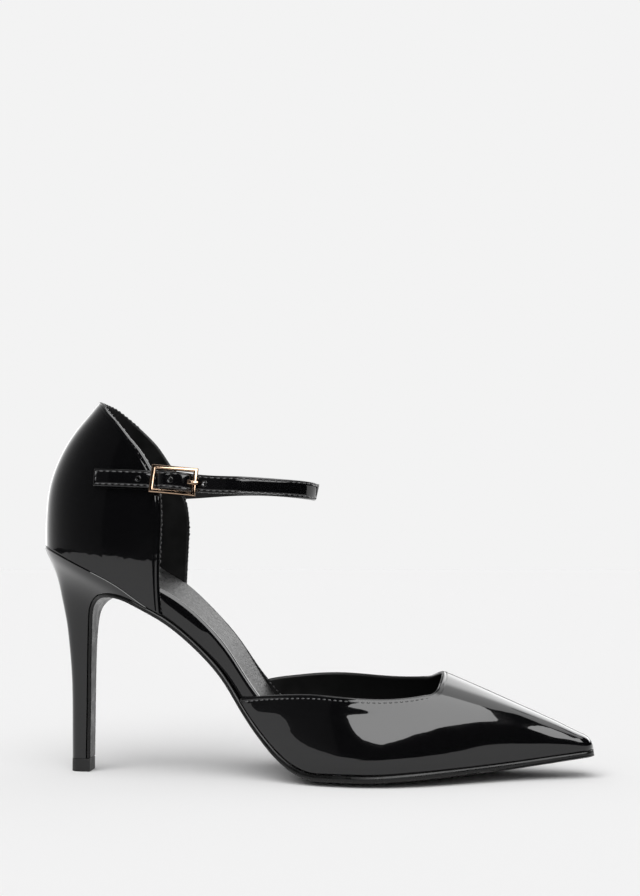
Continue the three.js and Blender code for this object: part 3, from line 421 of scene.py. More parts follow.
def counter_point(around, z, side, inset=0.0):
    """Place on the counter: around is 0 at the back seam and 1 at the front edge."""
    back = counter_back(z) + inset
    x = back + around * around * (front_edge[side](z) - back)
    x, z = np.broadcast_arrays(x, z)
    return np.stack([x, side * counter_width(x, z, side, inset), z], axis=-1)


def seat_level(around, side):
    return solve(lambda z: z - feather(counter_point(around, z, side)[..., 0]),
                 np.full(np.shape(around), 0.5 * HEEL_HEIGHT), 1.05 * HEEL_HEIGHT)


def topline_level(around, side):
    return solve(lambda z: z - counter_topline[side](counter_point(around, z, side)[..., 0]),
                 np.full(np.shape(around), HEEL_HEIGHT), HEEL_HEIGHT + 1.05 * BACK_HEIGHT)


# Toplines of the vamp and the front edge of its throat, seen from the side
VAMP_TOPLINE = Table("x lateral medial", [
    (0.330, 0.740, 0.790),
    (0.375, 0.770, 0.822),
    (0.405, 0.792, 0.864),
    (0.455, 0.817, 0.902),
    (0.506, 0.828, 0.925),
    (0.550, 0.816, 0.928),
    (0.607, 0.797, 0.912),
    (0.660, 0.800, 0.904),
    (0.700, 0.820, 0.915),
], x=SHOE_LENGTH, lateral=INSTEP_HEIGHT, medial=INSTEP_HEIGHT)
vamp_topline = VAMP_TOPLINE.sides("x")
THROAT_EDGE = {
    LATERAL: [(0.7150, 0.832), (0.7215, 0.855), (0.7265, 0.900), (0.7310, 0.955), (0.7340, 1.000)],
    MEDIAL: [(0.7090, 0.920), (0.7170, 0.938), (0.7230, 0.958), (0.7290, 0.980), (0.7340, 1.000)],
}

# Rims of the low waist walls above the feather line
WAIST = Table("x lateral medial", [
    (0.195, 0.245, 0.344),
    (0.236, 0.256, 0.344),
    (0.286, 0.283, 0.344),
    (0.330, 0.288, 0.338),
    (0.364, 0.292, 0.338),
    (0.410, 0.300, 0.330),
    (0.430, 0.304, 0.326),
], x=SHOE_LENGTH, lateral=INSTEP_HEIGHT, medial=INSTEP_HEIGHT)
waist_rim = WAIST.sides("x")


# Meshes

def in_frame(points):
    return np.asarray(points, float) * MM + ORIGIN


def grid_faces(rows, columns, start=0, wrap=False):
    """Quads between rows of points, with the columns joined end to end where wrap is true."""
    across = columns if wrap else columns - 1
    i, j = np.divmod(np.arange((rows - 1) * across), across)
    k = (j + 1) % columns
    return start + np.stack([i * columns + j, i * columns + k, (i + 1) * columns + k,
                             (i + 1) * columns + j], axis=1)


def tube_faces(rows, columns, start=0):
    """Faces of a tube of closed rows of points, with both ends closed."""
    last = start + (rows - 1) * columns
    return [*grid_faces(rows, columns, start, wrap=True).tolist(),
            list(range(start, start + columns))[::-1], list(range(last, last + columns))]


def loop_faces(rows, columns, start=0):
    """Quads of closed rows of points whose last row joins the first."""
    here = np.arange(rows * columns).reshape(rows, columns) + start
    ahead = np.roll(here, -1, axis=0)
    quads = np.stack([here, np.roll(here, -1, axis=1), np.roll(ahead, -1, axis=1), ahead], axis=-1)
    return quads.reshape(-1, 4).tolist()


def sheet_faces(rows, columns):
    """Faces of a sheet from the grids of its two sides, closed along its edges, and the number of
    each face's material."""
    count = rows * columns
    outside, inside = grid_faces(rows, columns), grid_faces(rows, columns, count)[:, ::-1]
    index = np.arange(count).reshape(rows, columns)
    edges = [line.tolist() for line in (index[:, -1], index[0], index[-1], index[:, 0])]
    closing = [(a, b, b + count, a + count) for edge in edges for a, b in zip(edge, edge[1:])]
    look_of_face = [0] * len(outside) + [1] * len(inside) + [0] * len(closing)
    return [*outside.tolist(), *inside.tolist(), *closing], look_of_face


def linked(name, data):
    """New object in the scene."""
    thing = bpy.data.objects.new(name, data)
    bpy.context.scene.collection.objects.link(thing)
    return thing


def make_piece(name, points, faces, looks, stands_for=(), look_of_face=None, sharp=None,
               bevel=None):
    """Mesh piece from points in millimetres. looks are its materials, sharp the angle in degrees
    past which an edge isn't shaded smooth, and bevel the width of its rounded edges."""
    mesh = bpy.data.meshes.new(name)
    mesh.from_pydata(in_frame(points).tolist(), [], [list(map(int, f)) for f in faces])
    for look in looks:
        mesh.materials.append(look)
    if look_of_face is not None:
        mesh.polygons.foreach_set("material_index", np.asarray(look_of_face, np.int32))
    work = bmesh.new()
    work.from_mesh(mesh)
    bmesh.ops.remove_doubles(work, verts=work.verts, dist=2e-6)
    bmesh.ops.dissolve_degenerate(work, edges=work.edges, dist=1e-7)
    bmesh.ops.recalc_face_normals(work, faces=work.faces)
    work.to_mesh(mesh)
    work.free()
    mesh.polygons.foreach_set("use_smooth", np.ones(len(mesh.polygons), bool))
    if sharp is not None:
        mesh.set_sharp_from_angle(angle=math.radians(sharp))
    piece = linked(name, mesh)
    if bevel is not None:
        rounding = piece.modifiers.new("rounding", "BEVEL")
        rounding.width = bevel * MM
        rounding.segments = 3
        rounding.limit_method = "ANGLE"
        rounding.angle_limit = math.radians(35)
        rounding.harden_normals = True
    if stands_for:
        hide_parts(*stands_for)
    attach(piece, "root")
    return piece


def runs_of(lines):
    """Lengths along lines of points, each from 0 at its first."""
    steps = np.linalg.norm(np.diff(lines, axis=1), axis=-1)
    return np.concatenate([np.zeros((len(lines), 1)), np.cumsum(steps, axis=1)], axis=1)


def grid_normals(grid, towards):
    """Normals of a grid of points, turned away from the point or points that they leave behind."""
    along = np.gradient(grid, axis=0)
    across = np.gradient(grid, axis=1)
    normal = np.cross(along, across)
    size = np.linalg.norm(normal, axis=-1, keepdims=True)
    away = grid - towards
    away = away / np.maximum(np.linalg.norm(away, axis=-1, keepdims=True), 1e-9)
    normal = np.where(size > 1e-9, normal / np.maximum(size, 1e-12), away)
    middle = normal[normal.shape[0] // 2, normal.shape[1] // 2]
    turned = np.sum(middle * away[away.shape[0] // 2, away.shape[1] // 2]) < 0
    return -normal if turned else normal


def distance_to(points, line):
    """Shortest distance from each point to a line of points."""
    flat = points.reshape(-1, 3)
    start, step = line[:-1], np.diff(line, axis=0)
    length = np.maximum(np.sum(step ** 2, axis=1), 1e-12)
    best = np.full(len(flat), np.inf)
    for a, d, size in zip(start, step, length):
        t = np.clip((flat - a) @ d / size, 0, 1)
        best = np.minimum(best, np.sum((flat - a - t[:, None] * d) ** 2, axis=1))
    return np.sqrt(best).reshape(points.shape[:-1])


def seam_trough(distance):
    """Depth of the trough that a row of stitches pulls in, less the soft ridge beside it."""
    trough = np.exp(-((distance - SEAM_INSET) / SEAM_WIDTH) ** 2)
    ridge = 0.35 * np.exp(-((distance - 0.5 * SEAM_INSET) / (1.2 * SEAM_WIDTH)) ** 2)
    return SEAM_DEPTH * (trough - ridge)


def shell(name, grid, towards, rim, wall, foot_round=0.0, seam=True, pressed=0):
    """Wall of the upper from the grid of its outer face. The wall rounds off at the rim, has a
    stitched trough along it and is closed at its foot, the grid's last column. pressed is how far
    each place is pushed in. Returns the outer face and the grid's normals."""
    normal = grid_normals(grid, towards)
    distance = distance_to(grid, rim)
    half = wall / 2
    thick = half * roundness(distance, half)
    sink = (seam_trough(distance) if seam else 0) + pressed
    if foot_round:
        foot = np.linalg.norm(grid - grid[:, -1:], axis=-1)
        sink = sink + foot_round * (1 - roundness(foot, foot_round))
    outer = grid - normal * (half - thick + sink)[..., None]
    inner = grid - normal * np.maximum(half + thick, half - thick + sink)[..., None]
    faces, look_of_face = sheet_faces(*grid.shape[:2])
    points = np.concatenate([outer.reshape(-1, 3), inner.reshape(-1, 3)])
    make_piece(name, points, faces, [PATENT, LINING], ["upper"],
               look_of_face=look_of_face)
    return outer, normal


def stitches(name, path, normal, pitch=SEAM_PITCH):
    """Row of thread stitches along a path on a surface, each an oblong bead."""
    run = run_of(path)
    count = max(1, int(run[-1] / pitch))
    reach = STITCH_SHARE * pitch / 2
    radius = THREAD_RADIUS
    turns, rings = 8, 7
    points, faces = [], []
    for middle in (np.arange(count) + 0.5) * run[-1] / count:
        start, end = place_at(run, path, [middle - reach, middle + reach])
        up = place_at(run, normal, middle)
        up = up / np.linalg.norm(up)
        ahead = (end - start) / np.linalg.norm(end - start)
        side = np.cross(up, ahead)
        faces += tube_faces(rings, turns, len(points))
        for ring in range(rings):
            t = -math.cos(math.pi * ring / (rings - 1))
            wide = radius * max(1e-3, math.sqrt(max(0, 1 - t ** 4)))
            lift = radius * (0.2 - 0.9 * t ** 4)
            for angle in round_turn(turns):
                points.append((start + end) / 2 + ahead * t * reach
                              + side * wide * THREAD_FLATNESS * math.cos(angle)
                              + up * (wide * math.sin(angle) + lift))
    make_piece(name, points, faces, [THREAD])


# Materials

def principled(name, **sockets):
    """Material with its Principled shader, whose sockets are set by name."""
    look = bpy.data.materials.new(name)
    look.use_nodes = True
    shader = look.node_tree.nodes["Principled BSDF"]
    for socket, value in sockets.items():
        shader.inputs[socket.replace("_", " ")].default_value = value
    return look, look.node_tree, shader


def noise(tree, scale, detail, stretch=(1, 1, 1)):
    """Noise in the object's own space, in features a metre."""
    place = tree.nodes.new("ShaderNodeTexCoord")
    turn = tree.nodes.new("ShaderNodeMapping")
    turn.inputs["Scale"].default_value = stretch
    made = tree.nodes.new("ShaderNodeTexNoise")
    made.inputs["Scale"].default_value = scale
    made.inputs["Detail"].default_value = detail
    tree.links.new(place.outputs["Object"], turn.inputs["Vector"])
    tree.links.new(turn.outputs["Vector"], made.inputs["Vector"])
    return made.outputs["Fac"]


def spread(tree, socket, scale, detail, low, high):
    """Lets a noise move a shader's socket between two values."""
    made = tree.nodes.new("ShaderNodeMapRange")
    for name, value in (("From Min", 0.35), ("From Max", 0.65), ("To Min", low), ("To Max", high)):
        made.inputs[name].default_value = value
    tree.links.new(noise(tree, scale, detail), made.inputs["Value"])
    tree.links.new(made.outputs["Result"], socket)


def make_look(name, bumps, rough=None, stretch=(1, 1, 1), **sockets):
    """Material of a piece. bumps are scale, detail, depth in metres and strength, each on top of
    the one before, and rough the scale, detail and range of the roughness. A full coat takes the
    bumps too."""
    look, tree, shader = principled(name, **sockets)
    below = None
    for scale, detail, distance, strength in bumps:
        made = tree.nodes.new("ShaderNodeBump")
        made.inputs["Distance"].default_value = distance
        made.inputs["Strength"].default_value = strength
        tree.links.new(noise(tree, scale, detail, stretch), made.inputs["Height"])
        if below is not None:
            tree.links.new(below, made.inputs["Normal"])
        below = made.outputs["Normal"]
    tree.links.new(below, shader.inputs["Normal"])
    if rough:
        spread(tree, shader.inputs["Roughness"], *rough)
    if sockets.get("Coat_Weight", 0) == 1:
        tree.links.new(below, shader.inputs["Coat Normal"])
    return look


# Black patent: a hard clear coat over leather, with slow waves and a faint fine peel
PATENT = make_look(
    "patent", [(38, 0, 0.0003, 0.8), (260, 1, 0.00002, 0.6)], (60, 3, 0.09, 0.16),
    Base_Color=(0.003, 0.003, 0.0034, 1), Roughness=0.12, Coat_Weight=1.0, Coat_Roughness=0.02,
    Coat_IOR=1.5, IOR=1.45, Specular_IOR_Level=0.08)
# Black smooth lining leather inside the upper
LINING = make_look(
    "lining", [(35, 2, 0.0006, 0.5), (1900, 3, 0.00004, 0.5)], (160, 3, 0.36, 0.5),
    Base_Color=(0.006, 0.006, 0.006, 1), Roughness=0.45, Specular_IOR_Level=0.25)
# Satin sock lining with a fine grain, slow dents and a speckled colour
SOCK = make_look(
    "sock", [(30, 2, 0.0008, 0.5), (900, 4, 0.0006, 1)], (700, 4, 0.24, 0.46),
    Base_Color=(0.022, 0.022, 0.024, 1), Roughness=0.34, Specular_IOR_Level=0.35)
spread(SOCK.node_tree, SOCK.node_tree.nodes["Principled BSDF"].inputs["Base Color"],
       800, 4, 0.008, 0.05)
# Black painted edge and underside of the sole, satin with a fine grain
SOLE_LOOK = make_look(
    "sole", [(60, 2, 0.0005, 0.4), (900, 4, 0.00006, 0.6)], (220, 3, 0.22, 0.38),
    Base_Color=(0.004, 0.004, 0.004, 1), Roughness=0.3, Coat_Weight=0.06, Coat_Roughness=0.12,
    Specular_IOR_Level=0.3)
RUBBER = make_look(
    "rubber", [(1500, 4, 0.00008, 0.7)], (300, 3, 0.42, 0.6),
    Base_Color=(0.012, 0.012, 0.012, 1), Roughness=0.5, Specular_IOR_Level=0.4)
# Polished rose gold with a faint brushed variation
GOLD = make_look(
    "gold", [(90, 1, 0.00002, 0.4)], (400, 3, 0.1, 0.16),
    Base_Color=(0.52, 0.36, 0.25, 1), Metallic=1.0, Roughness=0.09)
# Black thread given a dark grey base colour: the lighter colour is a painted highlight for the
# light on the thread tops
THREAD = make_look(
    "thread", [(3000, 2, 0.00005, 0.8)], stretch=(4, 1, 1),
    Base_Color=(0.075, 0.075, 0.077, 1), Roughness=0.34, Specular_IOR_Level=0.5)


# Upper

# Distances from an edge of the upper: over its rounding, and across the row of stitches
EDGE_STEPS = np.array([0, 0.02, 0.08, 0.18, 0.32, 0.5, 0.72, 0.97, 1.2])
NEAR_STEPS = np.concatenate([EDGE_STEPS, np.arange(1.4, 3.01, 0.16)])
SHORT_LINE = 9.0


def spaced(lines, near, count, short=0):
    """Distances down each line: the near ones, and count more until that short of its end."""
    lengths = runs_of(lines)[:, -1:] - short
    near = near[None] * np.minimum(1, lengths / SHORT_LINE)
    share = (np.arange(1, count + 1) / count)[None] ** 1.1
    last = near[:, -1:]
    return np.concatenate([near, last + (lengths - last) * share], axis=1)


def at_runs(lines, distances):
    """Points at given distances down lines of points."""
    return np.stack([place_at(*each) for each in zip(runs_of(lines), lines, distances)])


# Height left of the vamp at its rear end, and the throat's corner as a share of the edge
TOPLINE_REST = 1.2
THROAT_CORNER = 0.805


def throat_boundary(side):
    """Edge of the vamp on one side, from its rear end to the ridge: x and turn on the last, the
    run along it and where its corner is in that run."""
    start = solve(lambda x: vamp_topline[side](x) - feather(x) - TOPLINE_REST,
                  0.35 * SHOE_LENGTH, 0.42 * SHOE_LENGTH)
    xs = np.linspace(start, VAMP_TOPLINE["x"][-1], 22)
    edge = np.array(THROAT_EDGE[side]) * [SHOE_LENGTH, INSTEP_HEIGHT]
    rough = np.concatenate([np.stack([xs, vamp_topline[side](xs)], axis=1), edge])
    run = run_of(rough)
    fine = np.linspace(0, run[-1], 900)
    x, z = smooth(run, rough[:, 0])(fine), smooth(run, rough[:, 1])(fine)
    angle = last_angle(x, np.minimum(z, ridge_height(x)))
    angle[-1] = math.pi / 2
    turn = angle if side == LATERAL else math.pi - angle
    line = last_point(x, turn)
    run = run_of(line)
    corner = run[np.argmin(np.abs(fine - fine[-1] * THROAT_CORNER))]
    return x, turn, run, corner


# Lines of the vamp: how they crowd and fan out at the corner, and how far they curve
CORNER_RUN = 5.0
CORNER_DENSITY = 5.5
FAN_SHARE = 0.36
LINE_PULL = 0.4
LEAST_TURN = 0.6


def vamp_half(side):
    """Lines on one side of the vamp from its edge down to the feather line or the toe. They leave
    the edge at a right angle and stand closer at the throat's corner, where they fan out."""
    x, turn, run, corner = throat_boundary(side)
    near_corner = np.exp(-((run - corner) / CORNER_RUN) ** 2)
    weight = run_of(np.cumsum(1 + CORNER_DENSITY * near_corner)[:, None] * np.ones(3))
    picks = np.interp(np.linspace(0, weight[-1], 170), weight, run)
    x_from, turn_from = np.interp(picks, run, x), np.interp(picks, run, turn)
    fan = near_corner * (run < corner)
    even = (run < corner) * 1.0
    rate = (1 - FAN_SHARE) * even / np.trapz(even, run) + FAN_SHARE * fan / np.trapz(fan, run)
    share = np.concatenate([[0], np.cumsum((rate[1:] + rate[:-1]) / 2 * np.diff(run))])
    x_to = mix(x[0], SHOE_LENGTH, np.clip(np.interp(picks, run, share), 0, 1))
    past = np.clip((picks - corner) / (run[-1] - corner), 0, 1)
    foot = 0 if side == LATERAL else math.pi
    turn_to = mix(foot, math.pi / 2, past)

    step = 1e-3
    here = last_point(x_from, turn_from)
    by_x = (last_point(x_from + step, turn_from) - here) / step
    inward = -1 if side == LATERAL else 1
    by_turn = (last_point(x_from, turn_from + inward * step) - here) / (inward * step)
    tangent = np.gradient(here, axis=0)
    tangent /= np.linalg.norm(tangent, axis=1, keepdims=True)
    a = -np.sum(by_turn * tangent, axis=1)
    b = np.sum(by_x * tangent, axis=1)
    size = np.linalg.norm(a[:, None] * by_x + b[:, None] * by_turn, axis=1)
    a, b = a / size, b / size
    there = last_point(x_to, turn_to)
    reach = np.linalg.norm(there - here, axis=1)
    direction = a[:, None] * by_x + b[:, None] * by_turn
    sign = np.where(np.sum(direction * (there - here), axis=1) < 0, -1, 1)
    fall = np.abs(turn_to - turn_from)
    pull = sign * np.minimum(LINE_PULL * reach, LEAST_TURN * fall / np.maximum(np.abs(b), 1e-6))
    t = np.linspace(0, 1, 220)[None]

    def curve(start, middle, end):
        return ((1 - t) ** 2 * start[:, None] + 2 * t * (1 - t) * middle[:, None]
                + t ** 2 * end[:, None])

    return last_point(np.minimum(curve(x_from, x_from + a * pull, x_to), SHOE_LENGTH),
                      np.clip(curve(turn_from, turn_from + b * pull, turn_to), 0, math.pi))


# Fuller sides of the toe: swelling as a share of the height, and where along the shoe it sets in
TOE_FULLNESS = 0.125
TOE_FULL_POWER = 6
TOE_FULL_START, TOE_FULL_END = 0.68 * SHOE_LENGTH, 0.86 * SHOE_LENGTH
# A soft dent and a soft swelling of the vamp's lateral side: place, spread and depth
VAMP_DENTS = Table("along level width height depth", [
    (0.600, 0.58, 0.034, 0.155, 0.75),
    (0.447, 0.72, 0.030, 0.120, -0.50),
], along=SHOE_LENGTH, level=INSTEP_HEIGHT, width=SHOE_LENGTH, height=INSTEP_HEIGHT)


def make_vamp():
    """Vamp with a stitched throat, full at the sides of the toe and softly dented."""
    lines = np.concatenate([vamp_half(LATERAL), vamp_half(MEDIAL)[::-1][1:]])
    grid = at_runs(lines, spaced(lines, NEAR_STEPS, 42))
    middle = np.array([0.6 * SHOE_LENGTH, 0, 0.5 * INSTEP_HEIGHT])
    x, y, z = np.moveaxis(grid, -1, 0)
    above = z - feather(x)
    share = above / np.maximum(1, ridge_height(x) - feather(x))
    fullness = TOE_FULLNESS * ease(x, TOE_FULL_START, TOE_FULL_END)
    pressed = -fullness * above * (1 - share ** TOE_FULL_POWER)
    clear = ease(distance_to(grid, grid[:, 0]), SEAM_INSET, 4 * SEAM_INSET)
    for along, level, width, height, depth in zip(*VAMP_DENTS.columns.values()):
        far = ((x - along) / width) ** 2 + ((z - level) / height) ** 2
        pressed = pressed + np.where(y < 0, clear * depth * np.exp(-far / 2), 0)
    _, normal = shell("vamp", grid, middle, grid[:, 0], UPPER_WALL, pressed=pressed)

    runs = runs_of(grid)
    pick = np.array([np.interp(SEAM_INSET, run, np.arange(len(run))) for run in runs])
    low = np.minimum(pick.astype(int), grid.shape[1] - 2)
    part = (pick - low)[:, None]
    index = np.arange(len(grid))
    up = mix(normal[index, low], normal[index, low + 1], part)
    path = mix(grid[index, low], grid[index, low + 1], part) - up * SEAM_DEPTH
    keep = runs[:, -1] > 2 * SEAM_INSET
    stitches("vamp_stitches", path[keep], up[keep])


# Waist walls: their stitches, how far the foot is drawn in and how the rim falls away
WAIST_SEAM_INSET = 0.75
WAIST_DRAW = 1.3
WAIST_RIM_RUN = 2.2
WAIST_RIM_FALL = 0.8
WAIST_THREAD_LIFT = 0.05


def make_waist():
    """Low walls of the waist, drawn in towards the feather line, with a row of stitches inside."""
    steps = NEAR_STEPS[:-4]
    within = np.argmin(np.abs(steps - WAIST_SEAM_INSET))
    xs = np.linspace(WAIST["x"][0], WAIST["x"][-1], 90)
    for side, name in ((LATERAL, "waist_lateral"), (MEDIAL, "waist_medial")):
        rise = waist_rim[side](xs)
        levels = feather(xs)[:, None] + rise[:, None] * np.linspace(1, 0, 200)[None]
        angle = last_angle(xs[:, None], levels, WAIST_STEP)
        turn = angle if side == LATERAL else math.pi - angle
        lines = last_point(np.broadcast_to(xs[:, None], angle.shape), turn, WAIST_STEP)
        grid = at_runs(lines, spaced(lines, steps, 14))
        centre = np.stack([xs, 0 * xs, feather(xs) + rise], axis=1)[:, None]
        below = 1 - (grid[..., 2] - feather(xs)[:, None]) / rise[:, None]
        fall = 1 - roundness(distance_to(grid, grid[:, 0]), WAIST_RIM_RUN)
        pressed = WAIST_DRAW * np.clip(below, 0, 1) ** 2 + WAIST_RIM_FALL * fall
        _, normal = shell(name, grid, centre, grid[:, 0], WAIST_WALL, seam=False, pressed=pressed)
        up = -normal[:, within]
        stitches(name + "_stitches", grid[:, within] + up * (WAIST_WALL + WAIST_THREAD_LIFT), up)


# Foot of the counter: drawn in and rounded where it meets the heel
SEAT_DRAW = 0.45
SEAT_DRAW_HEIGHT = 22
SEAT_ROUND = 0.45
FRONT_RUN = 56
FOOT_STEPS = np.array([0.9, 0.5, 0.3, 0.15, 0.05, 0])


def make_counter():
    """Heel counter as one wall, from one front edge round the back to the other."""
    near = np.sqrt(1 - NEAR_STEPS / FRONT_RUN)
    around = np.concatenate([near, np.linspace(near[-1], 0, 66)[1:]])
    grids = []
    for side in (LATERAL, MEDIAL):
        low, high = seat_level(around, side), topline_level(around, side)
        levels = mix(high[:, None], low[:, None], np.linspace(0, 1, 400)[None])
        grids.append(counter_point(around[:, None], levels, side))
    lines = np.concatenate([grids[0], grids[1][::-1][1:]])
    steps = np.concatenate([EDGE_STEPS, np.arange(1.4, 8.0, 0.2)])
    foot = runs_of(lines)[:, -1:] - FOOT_STEPS[None]
    grid = at_runs(lines, np.concatenate([spaced(lines, steps, 34, short=1), foot], axis=1))
    centre = np.array([0.15 * SHOE_LENGTH, 0, HEEL_HEIGHT + 0.3 * BACK_HEIGHT])
    rim = np.concatenate([lines[0][::-1], lines[:, 0], lines[-1]])
    above_seat = grid[..., 2] - grid[:, -1:, 2]
    pressed = SEAT_DRAW * np.clip(1 - above_seat / SEAT_DRAW_HEIGHT, 0, 1) ** 2
    outer, _ = shell("counter", grid, centre, rim, UPPER_WALL, SEAT_ROUND, pressed=pressed)
    counter_stitches(outer, grid_normals(outer, centre), grid, rim)


def counter_stitches(outer, normal, grid, rim):
    """One row of stitches up the lateral front edge, along the topline and down the medial edge."""
    run = run_of(rim)
    places = np.arange(SEAM_END, run[-1] - SEAM_END, 0.4)
    line = place_at(run, rim, places)
    ahead = np.gradient(line, axis=0)
    ahead /= np.linalg.norm(ahead, axis=1, keepdims=True)
    flat, up, shown = grid.reshape(-1, 3), normal.reshape(-1, 3), outer.reshape(-1, 3)

    def nearest(points):
        return [int(np.argmin(np.sum((flat - p) ** 2, axis=1))) for p in points]

    inward = np.cross(ahead, up[nearest(line)])
    centre = np.array([0.1 * SHOE_LENGTH, 0, HEEL_HEIGHT + 0.35 * BACK_HEIGHT])
    inward *= np.sign(np.sum(inward * (centre - line), axis=1, keepdims=True))
    target = line + inward * SEAM_INSET
    found = nearest(target)
    target -= up[found] * np.sum((target - shown[found]) * up[found], axis=1, keepdims=True)
    stitches("counter_stitches", target, up[found])


# Heel and sole

# Heel: how far it has gone over from the seat's plan to the stem's, at a share of its height
FLARE = Table("share along across", [
    (0.00, 0.000, 0.00),
    (0.035, 0.085, 0.14),
    (0.075, 0.200, 0.36),
    (0.115, 0.310, 0.55),
    (0.165, 0.420, 0.72),
    (0.215, 0.500, 0.83),
    (0.265, 0.575, 0.90),
    (0.360, 0.715, 0.965),
    (0.455, 0.810, 0.985),
    (0.645, 0.935, 1.00),
    (0.820, 0.975, 1.00),
    (1.000, 1.000, 1.00),
])
flare_along = FLARE.line("share", "along")
flare_across = FLARE.line("share", "across")
# Gaps of the heel to the top piece, the counter and the outsole, its edge and its stem's plan
HEEL_FOOT = TOP_PIECE_HEIGHT + 0.1
HEEL_SEAT_GAP = 0.25
HEEL_BREAST_GAP = 0.1
BREAST_LEAD = 12
HEEL_EDGE = 0.35
STEM_ROUND = 0.85 * STEM_LENGTH
STEM_REACH = 1.35 * STEM_LENGTH
WEDGE_TIP = 0.197 * SHOE_LENGTH
tip_run = float(solve(lambda run: sole_at(run, sole_thick(run))[0] - WEDGE_TIP, 0,
                      sole_run[BREAST_ROW]))


def heel_point(around, share, side):
    """Place on the heel: share is 0 at the seat and 1 at the foot of the stem."""
    seat = counter_point(around, seat_level(around, side), side)
    run = around * around * STEM_REACH
    foot_y = side * STEM_WIDTH / 2 * nose_width(run / STEM_ROUND)
    x = mix(seat[..., 0], STEM_BACK + run, flare_along(share))
    y = mix(seat[..., 1], foot_y, flare_across(share))
    z = mix(seat[..., 2] - HEEL_SEAT_GAP, HEEL_FOOT, share)
    return np.stack([x, y, z], axis=-1)


def breast_distance(points):
    """How far a place lies behind the outsole's upper face, seen from the side."""
    runs = np.linspace(tip_run - BREAST_LEAD, sole_length, 1500)
    x, z = sole_at(runs, sole_thick(runs) + HEEL_BREAST_GAP)
    flat = points[..., [0, 2]].reshape(-1, 2)
    face = np.stack([x, z], axis=1)
    ahead = np.gradient(face, axis=0)
    behind = np.stack([ahead[:, 1], -ahead[:, 0]], axis=1)
    behind /= np.linalg.norm(behind, axis=1, keepdims=True)
    nearest = np.array([int(np.argmin(np.sum((face - p) ** 2, axis=1))) for p in flat])
    gap = np.sum((flat - face[nearest]) * behind[nearest], axis=1)
    return gap.reshape(points.shape[:-1])


def make_heel():
    """Heel from the seat down to the foot of the stem, cut off at the outsole's breast flap."""
    near = np.array([0, 0.05, 0.15, 0.3, 0.45]) / HEEL_HEIGHT
    shares = np.concatenate([near, mix(0.6 / HEEL_HEIGHT, 1, np.linspace(0, 1, 90) ** 1.3)])
    around = np.linspace(0, 1, 48) ** 0.8
    sides = []
    for side in (LATERAL, MEDIAL):
        ends = solve(lambda a: breast_distance(heel_point(a, shares, side)), 0 * shares, 1)
        sides.append(heel_point(around[:, None] * ends[None], shares[None], side))
    grid = np.concatenate([sides[0][::-1], sides[1][1:]])
    normal = grid_normals(grid, np.array([0.12 * SHOE_LENGTH, 0, 0.8 * HEEL_HEIGHT]))
    top = np.linalg.norm(grid - grid[:, :1], axis=-1)
    points = grid - normal * (HEEL_EDGE * (1 - roundness(top, HEEL_EDGE)))[..., None]
    rows, columns = grid.shape[:2]
    index = np.arange(rows * columns).reshape(rows, columns)
    faces = grid_faces(rows, columns).tolist()
    for line in (index[:, 0], index[:, -1]):
        faces += [(line[i], line[i + 1], line[-2 - i], line[-1 - i])
                  for i in range((rows - 1) // 2)]
    faces += [(*index[0, k:k + 2], *index[-1, k:k + 2][::-1]) for k in range(columns - 1)]
    make_piece("heel_cover", points.reshape(-1, 3), faces, [PATENT], ["heel"], sharp=38)


def heel_half(x, z, side):
    """Half width of the heel's side at x and z."""
    def share_at(around):
        top = seat_level(around, side) - HEEL_SEAT_GAP
        return np.maximum(0, (top - z) / (top - HEEL_FOOT))

    place = solve(lambda around: heel_point(around, share_at(around), side)[..., 0] - x,
                  np.zeros(np.shape(x)), 1)
    return np.abs(heel_point(place, share_at(place), side)[..., 1])


# Edge of the sole: distance inside the last's width, rounding as a share of the thickness
SOLE_EDGE_INSET = 0.2
SOLE_EDGE_ROUND = 0.32
SOLE_LEAST_HALF = 0.02
HEEL_BLEND = tip_run - 8, tip_run + 2


def make_outsole():
    """Thin sole as one ribbon: rings across it, from the toe over the arch and down the breast."""
    runs = sole_length * np.linspace(0, 1, 420)
    x_top, z_top = sole_at(runs, sole_thick(runs))
    at_heel = ease(runs, *HEEL_BLEND)
    half = {}
    for side, width in ((LATERAL, lateral_width), (MEDIAL, medial_width)):
        last = width(x_top) * nose(x_top)
        heel = np.minimum(heel_half(x_top, z_top, side), last)
        half[side] = np.maximum(mix(last, heel, at_heel) - SOLE_EDGE_INSET, SOLE_LEAST_HALF)
    near_edge = 1 - 0.2 * np.cos(np.linspace(0.15, 0.5, 8) * math.pi)
    across = np.minimum(np.concatenate([np.linspace(0, 0.8, 9), near_edge]), 1)[:-1]
    turns = math.pi * np.linspace(0, 1, 9)
    rings = []
    for i, run in enumerate(runs):
        thick, rise = sole_thick(run), sole_rise(run)
        rounding = [(1, thick / 2 * (1 - math.cos(turn)),
                     SOLE_EDGE_ROUND * thick * (1 - math.sin(turn))) for turn in turns]
        profile = [*((share, 0, 0) for share in across), *rounding,
                   *((share, thick, 0) for share in across[::-1])]
        points = []
        for side, places in ((LATERAL, profile), (MEDIAL, profile[-2:0:-1])):
            for share, lift, pull in places:
                curl = max(0, 2 * share - 1) ** 2
                x, z = sole_at(run, lift + rise * curl)
                points.append((x, side * max(0, half[side][i] * share - pull), z))
        rings.append(points)
    grid = np.array(rings)
    make_piece("sole_ribbon", grid.reshape(-1, 3), tube_faces(*grid.shape[:2]), [SOLE_LOOK],
               ["outsole"], sharp=60)


